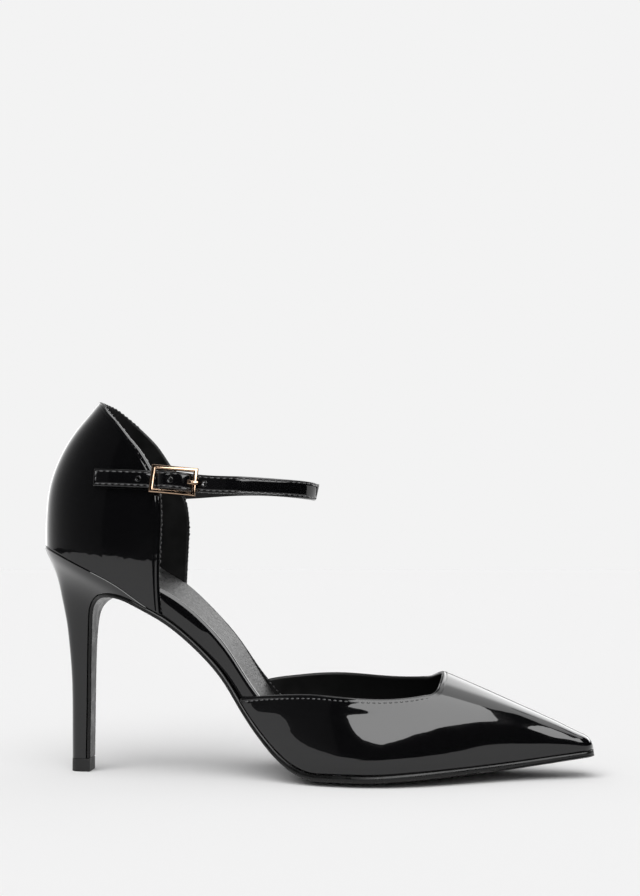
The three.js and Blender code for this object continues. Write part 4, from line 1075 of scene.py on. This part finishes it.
# Height of the insole's face above the feather line
INSOLE = Table("x deep", [
    (0.010, 0.105),
    (0.100, 0.165),
    (0.190, 0.228),
    (0.236, 0.246),
    (0.286, 0.272),
    (0.330, 0.277),
    (0.380, 0.276),
    (0.420, 0.236),
    (0.470, 0.160),
    (0.530, 0.098),
    (0.620, 0.075),
    (0.800, 0.062),
    (1.000, 0.055),
], x=SHOE_LENGTH, deep=INSTEP_HEIGHT)
insole_deep = INSOLE.line("x", "deep")
WAIST_BLEND = 8
INSOLE_THICKNESS = 3.0
INSOLE_ROUND = 1.0
INSOLE_LEVEL_MARGIN = 0.7
INSOLE_TOE_INSET = 2.4 * INSOLE_INSET
INSOLE_TILT_FADE = 0.4 * SHOE_LENGTH, 0.5 * SHOE_LENGTH


def insole_half(x, side):
    """Half width of the insole, from the counter's inside or from the last's."""
    top = feather(x) + insole_deep(x)
    rear = counter_width(x, top, side, INSOLE_INSET)
    high = last_angle(x, top + INSOLE_LEVEL_MARGIN, INSOLE_INSET)
    turns = [np.zeros_like(high), high]
    if side == MEDIAL:
        turns = [math.pi - t for t in turns]
    fore = np.min([np.abs(last_point(x, t, INSOLE_INSET)[..., 1]) for t in turns], axis=0)
    blend = ease(x, WAIST["x"][0] - WAIST_BLEND, WAIST["x"][0] - 2 * WAIST_WALL)
    return np.where(x > FEATHER_START, fore, mix(rear, np.minimum(rear, fore), blend))


def make_insole():
    """Insole board and padding as one sheet, dished, rounded and tilted between the waist rims."""
    back = counter_back(HEEL_HEIGHT) + INSOLE_INSET + CLEARANCE
    xs = mix(back, SHOE_LENGTH - INSOLE_TOE_INSET, np.linspace(0, 1, 200) ** 1.25)
    in_waist = np.clip(xs, WAIST["x"][0], WAIST["x"][-1])
    fade = 1 - ease(xs, *INSOLE_TILT_FADE)
    tilt = fade * (waist_rim[MEDIAL](in_waist) - waist_rim[LATERAL](in_waist))
    share = np.sin(np.linspace(-1, 1, 61) * math.pi / 2)
    half = np.where(share[None] < 0, insole_half(xs, LATERAL)[:, None],
                    insole_half(xs, MEDIAL)[:, None])
    y = share[None] * half
    top = (feather(xs) + insole_deep(xs))[:, None] - INSOLE_DISH * (1 - share[None] ** 2)
    top = top + tilt[:, None] * (1 + share[None]) / 2
    top = top - INSOLE_ROUND * (1 - roundness(half - np.abs(y), INSOLE_ROUND))
    x = np.broadcast_to(xs[:, None], y.shape)
    points = [np.stack([x, y, z], axis=-1).reshape(-1, 3) for z in (top, top - INSOLE_THICKNESS)]
    faces, _ = sheet_faces(*y.shape)
    make_piece("sock_lining", np.concatenate(points), faces, [SOCK], ["insole"], sharp=50)


def make_top_piece():
    front = sole_at(sole_length, 0)[0]
    around = np.linspace(0, 1, 40)
    run = around ** 2 * (front - STEM_BACK)
    half = STEM_WIDTH / 2 * nose_width(run / STEM_ROUND)
    outline = np.concatenate([
        np.stack([STEM_BACK + run, LATERAL * half], axis=1)[::-1],
        np.stack([STEM_BACK + run, MEDIAL * half], axis=1)[1:],
    ])
    points = [(x, y, z) for z in (0, TOP_PIECE_HEIGHT) for x, y in outline]
    make_piece("heel_tip", points, tube_faces(2, len(outline)), [RUBBER], ["top_piece"],
               sharp=35, bevel=0.3)


# Strap and buckle

BUCKLE_X = 0.2592 * SHOE_LENGTH
# Middle line of the strap along the lateral side
STRAP_FALL = Table("x z", [
    (0.110, 1.0095),
    (0.160, 1.0065),
    (0.210, 1.0025),
    (0.259, 0.9975),
    (0.305, 0.9870),
    (0.330, 0.9830),
], x=SHOE_LENGTH, z=STRAP_HEIGHT)
strap_level = STRAP_FALL.line("x", "z")
counter_front = float(front_edge[LATERAL](STRAP_HEIGHT))
side_lean = float(counter_half(STRAP_HEIGHT + 1) - counter_half(STRAP_HEIGHT - 1)) / 2
side_fall = float(strap_level(BUCKLE_X - 0.5) - strap_level(BUCKLE_X + 0.5))


def side_base(x):
    on = np.minimum(x, counter_front - 1)
    here = counter_width(on, strap_level(on), LATERAL)
    behind = counter_width(on - 1, strap_level(on - 1), LATERAL)
    return here + (x - on) * (here - behind)


def on_side(along, out, up):
    """Place at the buckle: along from its middle, out from the counter's side, and up."""
    x = BUCKLE_X + along
    y = -(side_base(x) + out + side_lean * up)
    return np.array([x + side_fall * up, y, strap_level(x) + up])


CHAPE_OUT = CLEARANCE + CHAPE_THICKNESS / 2
STRAP_OUT = CHAPE_OUT + CHAPE_THICKNESS / 2 + CLEARANCE + STRAP_THICKNESS / 2
FRAME_OUT = STRAP_OUT + STRAP_THICKNESS / 2 + BUCKLE_PLAY + FRAME_THICKNESS / 2
CENTRE_BAR_OUT = FRAME_OUT - CENTRE_BAR_DROP
CHAPE_LOOP = CENTRE_BAR_RADIUS + CLEARANCE + CHAPE_THICKNESS
STRAP_OVER_BAR = CENTRE_BAR_OUT + CHAPE_LOOP + CLEARANCE + STRAP_THICKNESS / 2
END_BAR = (FRAME_LENGTH - FRAME_BAR) / 2

# The strap's open loop, seen from above, its height and how far it leans out
LOOP = Table("x y z lean", [
    (0.735, -0.492, 0.9800, 0.06),
    (0.830, -0.435, 0.9755, 0.00),
    (0.912, -0.330, 0.9715, -0.08),
    (0.972, -0.180, 0.9680, -0.18),
    (0.9943, 0.000, 0.9660, -0.22),
    (0.972, 0.180, 0.9720, -0.18),
    (0.912, 0.330, 0.9815, -0.08),
    (0.830, 0.435, 0.9900, 0.00),
    (0.735, 0.492, 0.9945, 0.06),
    (0.630, 0.512, 0.9925, 0.10),
], x=STRAP_REACH, y=SEAT_WIDTH, z=STRAP_HEIGHT)
SEWN_LEVEL = 0.982 * STRAP_HEIGHT
SEWN_STOPS = 0.12, 0.4, 0.7, 1
# How much more upright the strap stands than the counter, and its bulge over the centre bar
STRAP_UPRIGHT = 0.075
BULGE = 0.94
BULGE_SHOULDER = 0.93


def strap_route():
    """Stops along the strap: free end, buckle, open loop and the end sewn on the medial side."""
    over = mix(STRAP_OUT, STRAP_OVER_BAR, BULGE)
    shoulder = mix(STRAP_OUT, over, BULGE_SHOULDER)
    lateral = [
        (-FREE_END_LENGTH, STRAP_OUT),
        (-0.75 * FREE_END_LENGTH, STRAP_OUT),
        (-0.5 * FREE_END_LENGTH, STRAP_OUT),
        (-END_BAR - FRAME_BAR, STRAP_OUT),
        (-END_BAR + FRAME_BAR / 4, STRAP_OUT),
        (-0.55 * END_BAR, shoulder),
        (-END_BAR / 4, over),
        (END_BAR / 4, over),
        (0.55 * END_BAR, shoulder),
        (END_BAR - FRAME_BAR / 4, STRAP_OUT),
        (END_BAR + FRAME_BAR, STRAP_OUT),
    ]
    stops = [(*on_side(along, out, 0), -side_lean - STRAP_UPRIGHT) for along, out in lateral]
    stops += list(zip(LOOP["x"], LOOP["y"], LOOP["z"], LOOP["lean"]))
    medial_front = float(front_edge[MEDIAL](STRAP_HEIGHT))
    for share in SEWN_STOPS:
        x = medial_front - share * STRAP_SEWN_LENGTH
        out = counter_width(x, SEWN_LEVEL, MEDIAL) + CLEARANCE + STRAP_THICKNESS / 2
        stops.append((x, out, SEWN_LEVEL, -side_lean))
    return np.array(stops, float)


route = strap_route()
route_run = run_of(route[:, :3])
route_x, route_y, route_z, route_lean = (smooth(route_run, route[:, k]) for k in range(4))
BUCKLE_END_RUN = route_run[11]


def on_strap(run, out, up):
    """Place on the strap: run along it, out through its thickness and up across its width."""
    step = 0.05
    dx = route_x(run + step) - route_x(run - step)
    dy = route_y(run + step) - route_y(run - step)
    size = np.hypot(dx, dy)
    fall = -(route_z(run + step) - route_z(run - step)) / size
    dx, dy = dx / size, dy / size
    shift = out - route_lean(run) * up
    return np.stack([route_x(run) + dy * shift + dx * fall * up,
                     route_y(run) - dx * shift + dy * fall * up,
                     route_z(run) + up + 0 * shift], axis=-1)


def strap_section(ups, end_distance):
    """Half thickness of the strap across its width and near its ends, and how far its face is
    pushed in: the trough of its stitches less its crown."""
    edge = STRAP_WIDTH / 2 - np.abs(ups)
    thick = roundness(edge, STRAP_SOFT_EDGE) * roundness(end_distance, STRAP_SOFT_EDGE)
    near = np.minimum(edge, end_distance)
    trough = STRAP_TROUGH * np.exp(-((near - STRAP_SEAM_INSET) / STRAP_TROUGH_WIDTH) ** 2)
    crown = STRAP_CROWN * (1 - (ups / (STRAP_WIDTH / 2)) ** 2)
    return STRAP_THICKNESS / 2 * thick, (trough - crown) * thick


def hole_runs():
    """Where the strap's holes are along it, but for the one that the prong goes through."""
    places = [i for i in range(HOLE_COUNT) if i != PRONG_HOLE]
    xs = [BUCKLE_X + PRONG_HOLE_ALONG + (i - PRONG_HOLE) * HOLE_PITCH for i in places]
    return [float(solve(lambda r, x=x: route_x(r) - x, 0, BUCKLE_END_RUN)) for x in xs]


def make_strap():
    """Strap with its punched holes, rims and one row of stitches round the free end."""
    length = route_run[-1]
    ends = np.array([0, 0.03, 0.12, 0.26, 0.45, 0.7, 0.85, 1.0, 1.15, 1.35, 1.6])
    runs = np.concatenate([ends, np.linspace(2, length - 2, 420), (length - ends)[::-1]])
    edge = np.array([0, 0.02, 0.08, 0.18, 0.32, 0.5, 0.68, 0.85, 0.95, 1.05, 1.15, 1.25, 1.42])
    ups = np.concatenate([edge - STRAP_WIDTH / 2, np.linspace(-STRAP_FLAT, STRAP_FLAT, 9),
                          (STRAP_WIDTH / 2 - edge)[::-1]])
    thick, sink = strap_section(ups[None], np.minimum(runs, length - runs)[:, None])
    run_grid, up_grid = np.meshgrid(runs, ups, indexing="ij")
    points = [on_strap(run_grid, out, up_grid).reshape(-1, 3) for out in (thick - sink, -thick)]
    faces, look_of_face = sheet_faces(*thick.shape)
    strap = make_piece("strap", np.concatenate(points), faces, [PATENT, LINING],
                       ["ankle_strap"], look_of_face=look_of_face)
    punch(strap, [pin_at(run) for run in hole_runs()])

    inset = STRAP_WIDTH / 2 - STRAP_SEAM_INSET
    tail = np.arange(STRAP_SEAM_INSET, length - STRAP_SEAM_INSET, 0.5)
    end = np.linspace(-inset, inset, 12)[1:-1]
    run = np.concatenate([tail[::-1], np.full(len(end), STRAP_SEAM_INSET), tail])
    up = np.concatenate([np.full(len(tail), -inset), end, np.full(len(tail), inset)])
    path = on_strap(run, STRAP_THICKNESS / 2 - STRAP_THREAD_SINK, up)
    stitches("strap_stitches", path, on_strap(run, STRAP_THICKNESS / 2 + 1, up) - path,
             STRAP_SEAM_PITCH)
    make_hole_rims()


def pin_at(run, turns=28):
    """Points and faces of a pin of a hole's size through the strap."""
    angles = round_turn(turns)
    rings = [on_strap(run + HOLE_RADIUS * np.cos(angles), out, HOLE_RADIUS * np.sin(angles))
             for out in (-2 * STRAP_THICKNESS, 2 * STRAP_THICKNESS)]
    return np.concatenate(rings), tube_faces(2, turns)


def punch(piece, solids):
    """Cuts solids out of a piece."""
    mesh = bpy.data.meshes.new("punch")
    points, faces = [], []
    for solid_points, solid_faces in solids:
        start = len(points)
        points += in_frame(solid_points).tolist()
        faces += [[i + start for i in face] for face in solid_faces]
    mesh.from_pydata(points, [], faces)
    work = bmesh.new()
    work.from_mesh(mesh)
    bmesh.ops.recalc_face_normals(work, faces=work.faces)
    work.to_mesh(mesh)
    work.free()
    cutter = linked("punch", mesh)
    cut = piece.modifiers.new("punch", "BOOLEAN")
    cut.operation = "DIFFERENCE"
    cut.solver = "EXACT"
    cut.object = cutter
    graph = bpy.context.evaluated_depsgraph_get()
    done = bpy.data.meshes.new_from_object(piece.evaluated_get(graph))
    piece.modifiers.clear()
    piece.data = done
    done.set_sharp_from_angle(angle=math.radians(50))
    bpy.data.objects.remove(cutter)


def make_hole_rims():
    points, faces = [], []
    around, turns = 32, 10
    bead = round_turn(turns)
    reach = HOLE_RIM_RADIUS + HOLE_RIM_BEAD * np.cos(bead)
    out = STRAP_THICKNESS / 2 + HOLE_RIM_LIFT + HOLE_RIM_FLATNESS * HOLE_RIM_BEAD * np.sin(bead)
    for run in hole_runs():
        faces += loop_faces(around, turns, len(points))
        for angle in round_turn(around):
            points += [*on_strap(run + reach * math.cos(angle), out, reach * math.sin(angle))]
    make_piece("strap_hole_rims", np.array(points), faces, [PATENT])


def buckle_basis():
    """Middle of the frame and its directions along, up and out."""
    centre = on_side(0, FRAME_OUT, 0)
    ahead = on_side(1, FRAME_OUT, 0) - on_side(-1, FRAME_OUT, 0)
    ahead /= np.linalg.norm(ahead)
    up = on_side(0, FRAME_OUT, 1) - centre
    out = np.cross(ahead, up)
    out /= np.linalg.norm(out)
    return centre, ahead, np.cross(out, ahead), out


def make_buckle():
    """Bevelled frame of the buckle, and its centre bar on two short posts."""
    centre, ahead, up, out = buckle_basis()

    def at(a, u, o):
        return centre + a * ahead + u * up + o * out

    face, bevel, wide = FRAME_THICKNESS / 2, FRAME_BEVEL, FRAME_BAR
    slope = [(0, -face), (0, face - bevel), (0.3 * bevel, face - 0.28 * bevel), (bevel, face)]
    profile = slope + [(wide - across, level) for across, level in slope[::-1]]
    points = [at(sx * (FRAME_LENGTH / 2 - across), sy * (FRAME_HEIGHT / 2 - across), level)
              for sx, sy in ((-1, -1), (1, -1), (1, 1), (-1, 1)) for across, level in profile]
    make_piece("buckle_ring", np.array(points), loop_faces(4, len(profile)), [GOLD],
               ["buckle_frame"], sharp=30, bevel=0.12)

    turns = 24
    angles = round_turn(turns)
    reach = (FRAME_HEIGHT - FRAME_BAR) / 2
    radius = CENTRE_BAR_RADIUS
    bar = [at(radius * math.cos(a), u, -CENTRE_BAR_DROP + radius * math.sin(a))
           for u in (-reach, reach) for a in angles]
    faces = tube_faces(2, turns)
    for end in (-1, 1):
        faces += tube_faces(2, 4, len(bar))
        bar += [at(a, end * reach + u, level)
                for level in (-CENTRE_BAR_DROP - radius, -face + BAR_POST_SUNK)
                for a, u in BAR_POST]
    make_piece("buckle_centre_bar", np.array(bar), faces, [GOLD], ["buckle_frame"],
               sharp=35, bevel=0.1)


# Prong seen from the side: its lower and upper face from the centre bar to the tip
PRONG_ARM = Table("along low high", [
    (0.05, -1.15, -0.36),
    (0.46, -0.75, 0.04),
    (0.66, 0.10, 0.90),
    (0.80, 0.62, 1.40),
    (0.92, 0.70, 1.44),
    (1.10, 0.66, 1.34),
    (1.17, 0.62, 1.16),
], along=END_BAR, low=FRAME_THICKNESS, high=FRAME_THICKNESS)
PRONG_ROUNDING = 0.55
PRONG_NARROWING = 0.25


def make_prong():
    """Prong: a flat rounded arm from the centre bar through the strap onto the end bar."""
    run = run_of(np.stack([PRONG_ARM["along"], PRONG_ARM["low"], 0 * PRONG_ARM["low"]], axis=1))
    fine = np.linspace(0, run[-1], 40)
    along, low, high = (smooth(run, PRONG_ARM[name])(fine) for name in ("along", "low", "high"))
    half = PRONG_WIDTH / 2 * (1 - PRONG_NARROWING * ease(fine, 0.55 * run[-1], run[-1]))
    turns = 20
    angles = round_turn(turns)
    wide, tall = (np.copysign(np.abs(part) ** PRONG_ROUNDING, part)
                  for part in (np.cos(angles), np.sin(angles)))
    points = [on_side(a, FRAME_OUT + (lo + hi) / 2 + (hi - lo) / 2 * t, h * w)
              for a, lo, hi, h in zip(along, low, high, half) for w, t in zip(wide, tall)]
    make_piece("buckle_tongue", np.array(points), tube_faces(len(fine), turns), [GOLD],
               ["buckle_prong"], sharp=60)


def dress_chape():
    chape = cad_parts["buckle_chape"]
    chape.data.materials.clear()
    chape.data.materials.append(PATENT)


make_counter()
make_waist()
make_vamp()
make_heel()
make_outsole()
make_insole()
make_top_piece()
make_strap()
make_buckle()
make_prong()
dress_chape()


# Studio

def in_metres(x, y, z):
    return Vector(in_frame((x, y, z)))


# Camera in millimetres and degrees: a little to the toe's side and tilted up
CAMERA_PLACE = (170.0, -560.0, 92.6)
CAMERA_TILT = 5.06
CAMERA_TURN = 4.745
CAMERA_LENS = 50.83

BACKGROUND = 0.896
# Suns: name, strength, width in degrees, tilt to the back and to the side
SUN = 3.66
SUNS = [("sky", 0.55 * SUN, 60, 30, -10), ("fill", 0.45 * SUN, 160, 15, -8)]
FLOOR_COLOUR = (0.8565, 0.8547, 0.8562, 1)
FLOOR_RADIUS = 12
DOME_RADIUS = 11.8
PANEL_DISTANCE = 3.5

# The part of the floor that the gloss mirrors, in metres; it ends nearer on the toe's side
MIRRORED = [(-2.2, -4.5), (-0.05, -4.5), (-0.05, -0.6), (0, -0.45), (0, -0.27), (0.45, -0.27),
            (0.45, 0.15), (1.4, 0.15), (1.4, 1.5), (-2.2, 1.5)]
MIRRORED_LIFT = 0.0003

# Lower edge of the front window: degrees towards the toe and up
WINDOW_SILL = np.array([(-5, 24), (7, 15), (23, 16), (42, 19.5), (49, 23.5), (57, 27), (65, 38),
                        (80, 50)])


def make_camera():
    """The photograph's view: low, from the lateral side."""
    data = bpy.data.cameras.new("camera")
    data.sensor_width = 36
    data.lens = CAMERA_LENS
    data.clip_start, data.clip_end = 0.01, 100
    camera = linked("camera", data)
    camera.location = in_metres(*CAMERA_PLACE)
    camera.rotation_euler = (math.radians(90 + CAMERA_TILT), 0, math.radians(CAMERA_TURN))
    bpy.context.scene.camera = camera


def emitter(name, strength):
    look = bpy.data.materials.new(name)
    look.use_nodes = True
    tree = look.node_tree
    tree.nodes.clear()
    light = tree.nodes.new("ShaderNodeEmission")
    light.inputs["Strength"].default_value = strength
    light.inputs["Color"].default_value = (1, 1, 1, 1)
    end = tree.nodes.new("ShaderNodeOutputMaterial")
    tree.links.new(light.outputs["Emission"], end.inputs["Surface"])
    return look


def stage_mesh(name, points, faces, look):
    mesh = bpy.data.meshes.new(name)
    mesh.from_pydata([tuple(p) for p in points], [], faces)
    mesh.materials.append(look)
    thing = linked(name, mesh)
    return thing


def glow_look(name):
    """Emission as strong as the mesh's own glow value."""
    look = emitter(name, 1.0)
    tree = look.node_tree
    value = tree.nodes.new("ShaderNodeAttribute")
    value.attribute_name = "glow"
    tree.links.new(value.outputs["Fac"], tree.nodes["Emission"].inputs["Strength"])
    return look


def show_in_gloss_only(thing):
    thing.visible_camera = thing.visible_diffuse = thing.visible_shadow = False


def value_at(rule, *place):
    """A rule is a number or a function of the place."""
    return rule(*place) if callable(rule) else rule


def glow_panel(name, start, end, low, high, glow):
    """Curved panel that shows in the gloss only. start and end are in degrees from the lateral
    side towards the toe, low and high its edges in degrees up from the floor, as rules of the
    turn, and glow its radiance, as a rule of the turn and the height."""
    turns, rings = 60, 20
    points, values = [], []
    for share in np.linspace(0, 1, rings):
        for turn in np.linspace(start, end, turns):
            up = mix(value_at(low, turn), value_at(high, turn), share)
            a, e = math.radians(turn), math.radians(up)
            points.append((PANEL_DISTANCE * math.cos(e) * math.sin(a),
                           -PANEL_DISTANCE * math.cos(e) * math.cos(a),
                           PANEL_DISTANCE * math.sin(e)))
            values.append(value_at(glow, turn, up))
    panel = stage_mesh(name, points, grid_faces(rings, turns).tolist(), glow_look(name))
    attribute = panel.data.attributes.new("glow", "FLOAT", "POINT")
    attribute.data.foreach_set("value", np.array(values, np.float32))
    show_in_gloss_only(panel)


def make_floor():
    """Pale floor, and a copy of the part of it that the gloss mirrors."""
    look, _, _ = principled("floor", Base_Color=FLOOR_COLOUR, Roughness=1.0,
                            Specular_IOR_Level=0.0)
    edge = [(FLOOR_RADIUS * math.cos(a), FLOOR_RADIUS * math.sin(a), 0) for a in round_turn(96)]
    floor = stage_mesh("floor", edge, [tuple(range(len(edge)))], look)
    floor.visible_glossy = False
    mirrored = stage_mesh("mirrored_floor", [(x, y, MIRRORED_LIFT) for x, y in MIRRORED],
                          [tuple(range(len(MIRRORED)))], look)
    show_in_gloss_only(mirrored)


def make_dome():
    """Backdrop that only the camera sees."""
    turns, rings = 48, 24
    points = [(DOME_RADIUS * math.sin(e) * math.cos(a), DOME_RADIUS * math.sin(e) * math.sin(a),
               DOME_RADIUS * math.cos(e))
              for e in np.linspace(0, math.pi, rings + 1) for a in round_turn(turns)]
    dome = stage_mesh("backdrop", points, grid_faces(rings + 1, turns, wrap=True).tolist(),
                      emitter("backdrop", BACKGROUND))
    dome.visible_diffuse = dome.visible_glossy = dome.visible_shadow = False
    dome.visible_transmission = dome.visible_volume_scatter = False


def make_studio():
    make_floor()
    make_dome()
    for name, energy, width, back, tilt in SUNS:
        sun = bpy.data.lights.new(name, "SUN")
        sun.energy = energy
        sun.angle = math.radians(width)
        lamp = linked(name, sun)
        lamp.rotation_euler = (math.radians(back), math.radians(tilt), 0)
        lamp.visible_glossy = False

    glow_panel("front_window", -5, 80, lambda turn: np.interp(turn, *WINDOW_SILL.T),
               lambda turn: mix(74, 25, math.sqrt(max(0, 7 - turn) / 12)), 5.2)
    glow_panel("toe_window", 125, 180, 9, 74, lambda turn, up: (
        mix(6.2, 0.9, ease(turn, 110, 190)) * mix(0.42, 1, ease(turn, 122, 146))))
    glow_panel("bridge", 80, 125, 47, 68, 2.2)
    glow_panel("rear_wall", 150, 205, 0, lambda turn: 9 if turn < 180 else 50, 0.35)
    glow_panel("heel_wall", -154, -20, 0, 75, lambda turn, up: (
        2.9 * math.exp(-abs(-152 - turn) / 31) * (1 - up / 140)))
    glow_panel("top_light", 0, 360, 77, 89.5, 2.4)

    world = bpy.data.worlds.new("studio")
    world.use_nodes = True
    world.node_tree.nodes["Background"].inputs["Color"].default_value = (0, 0, 0, 1)
    bpy.context.scene.world = world
    bpy.context.scene.view_settings.view_transform = "Standard"


make_camera()
make_studio()
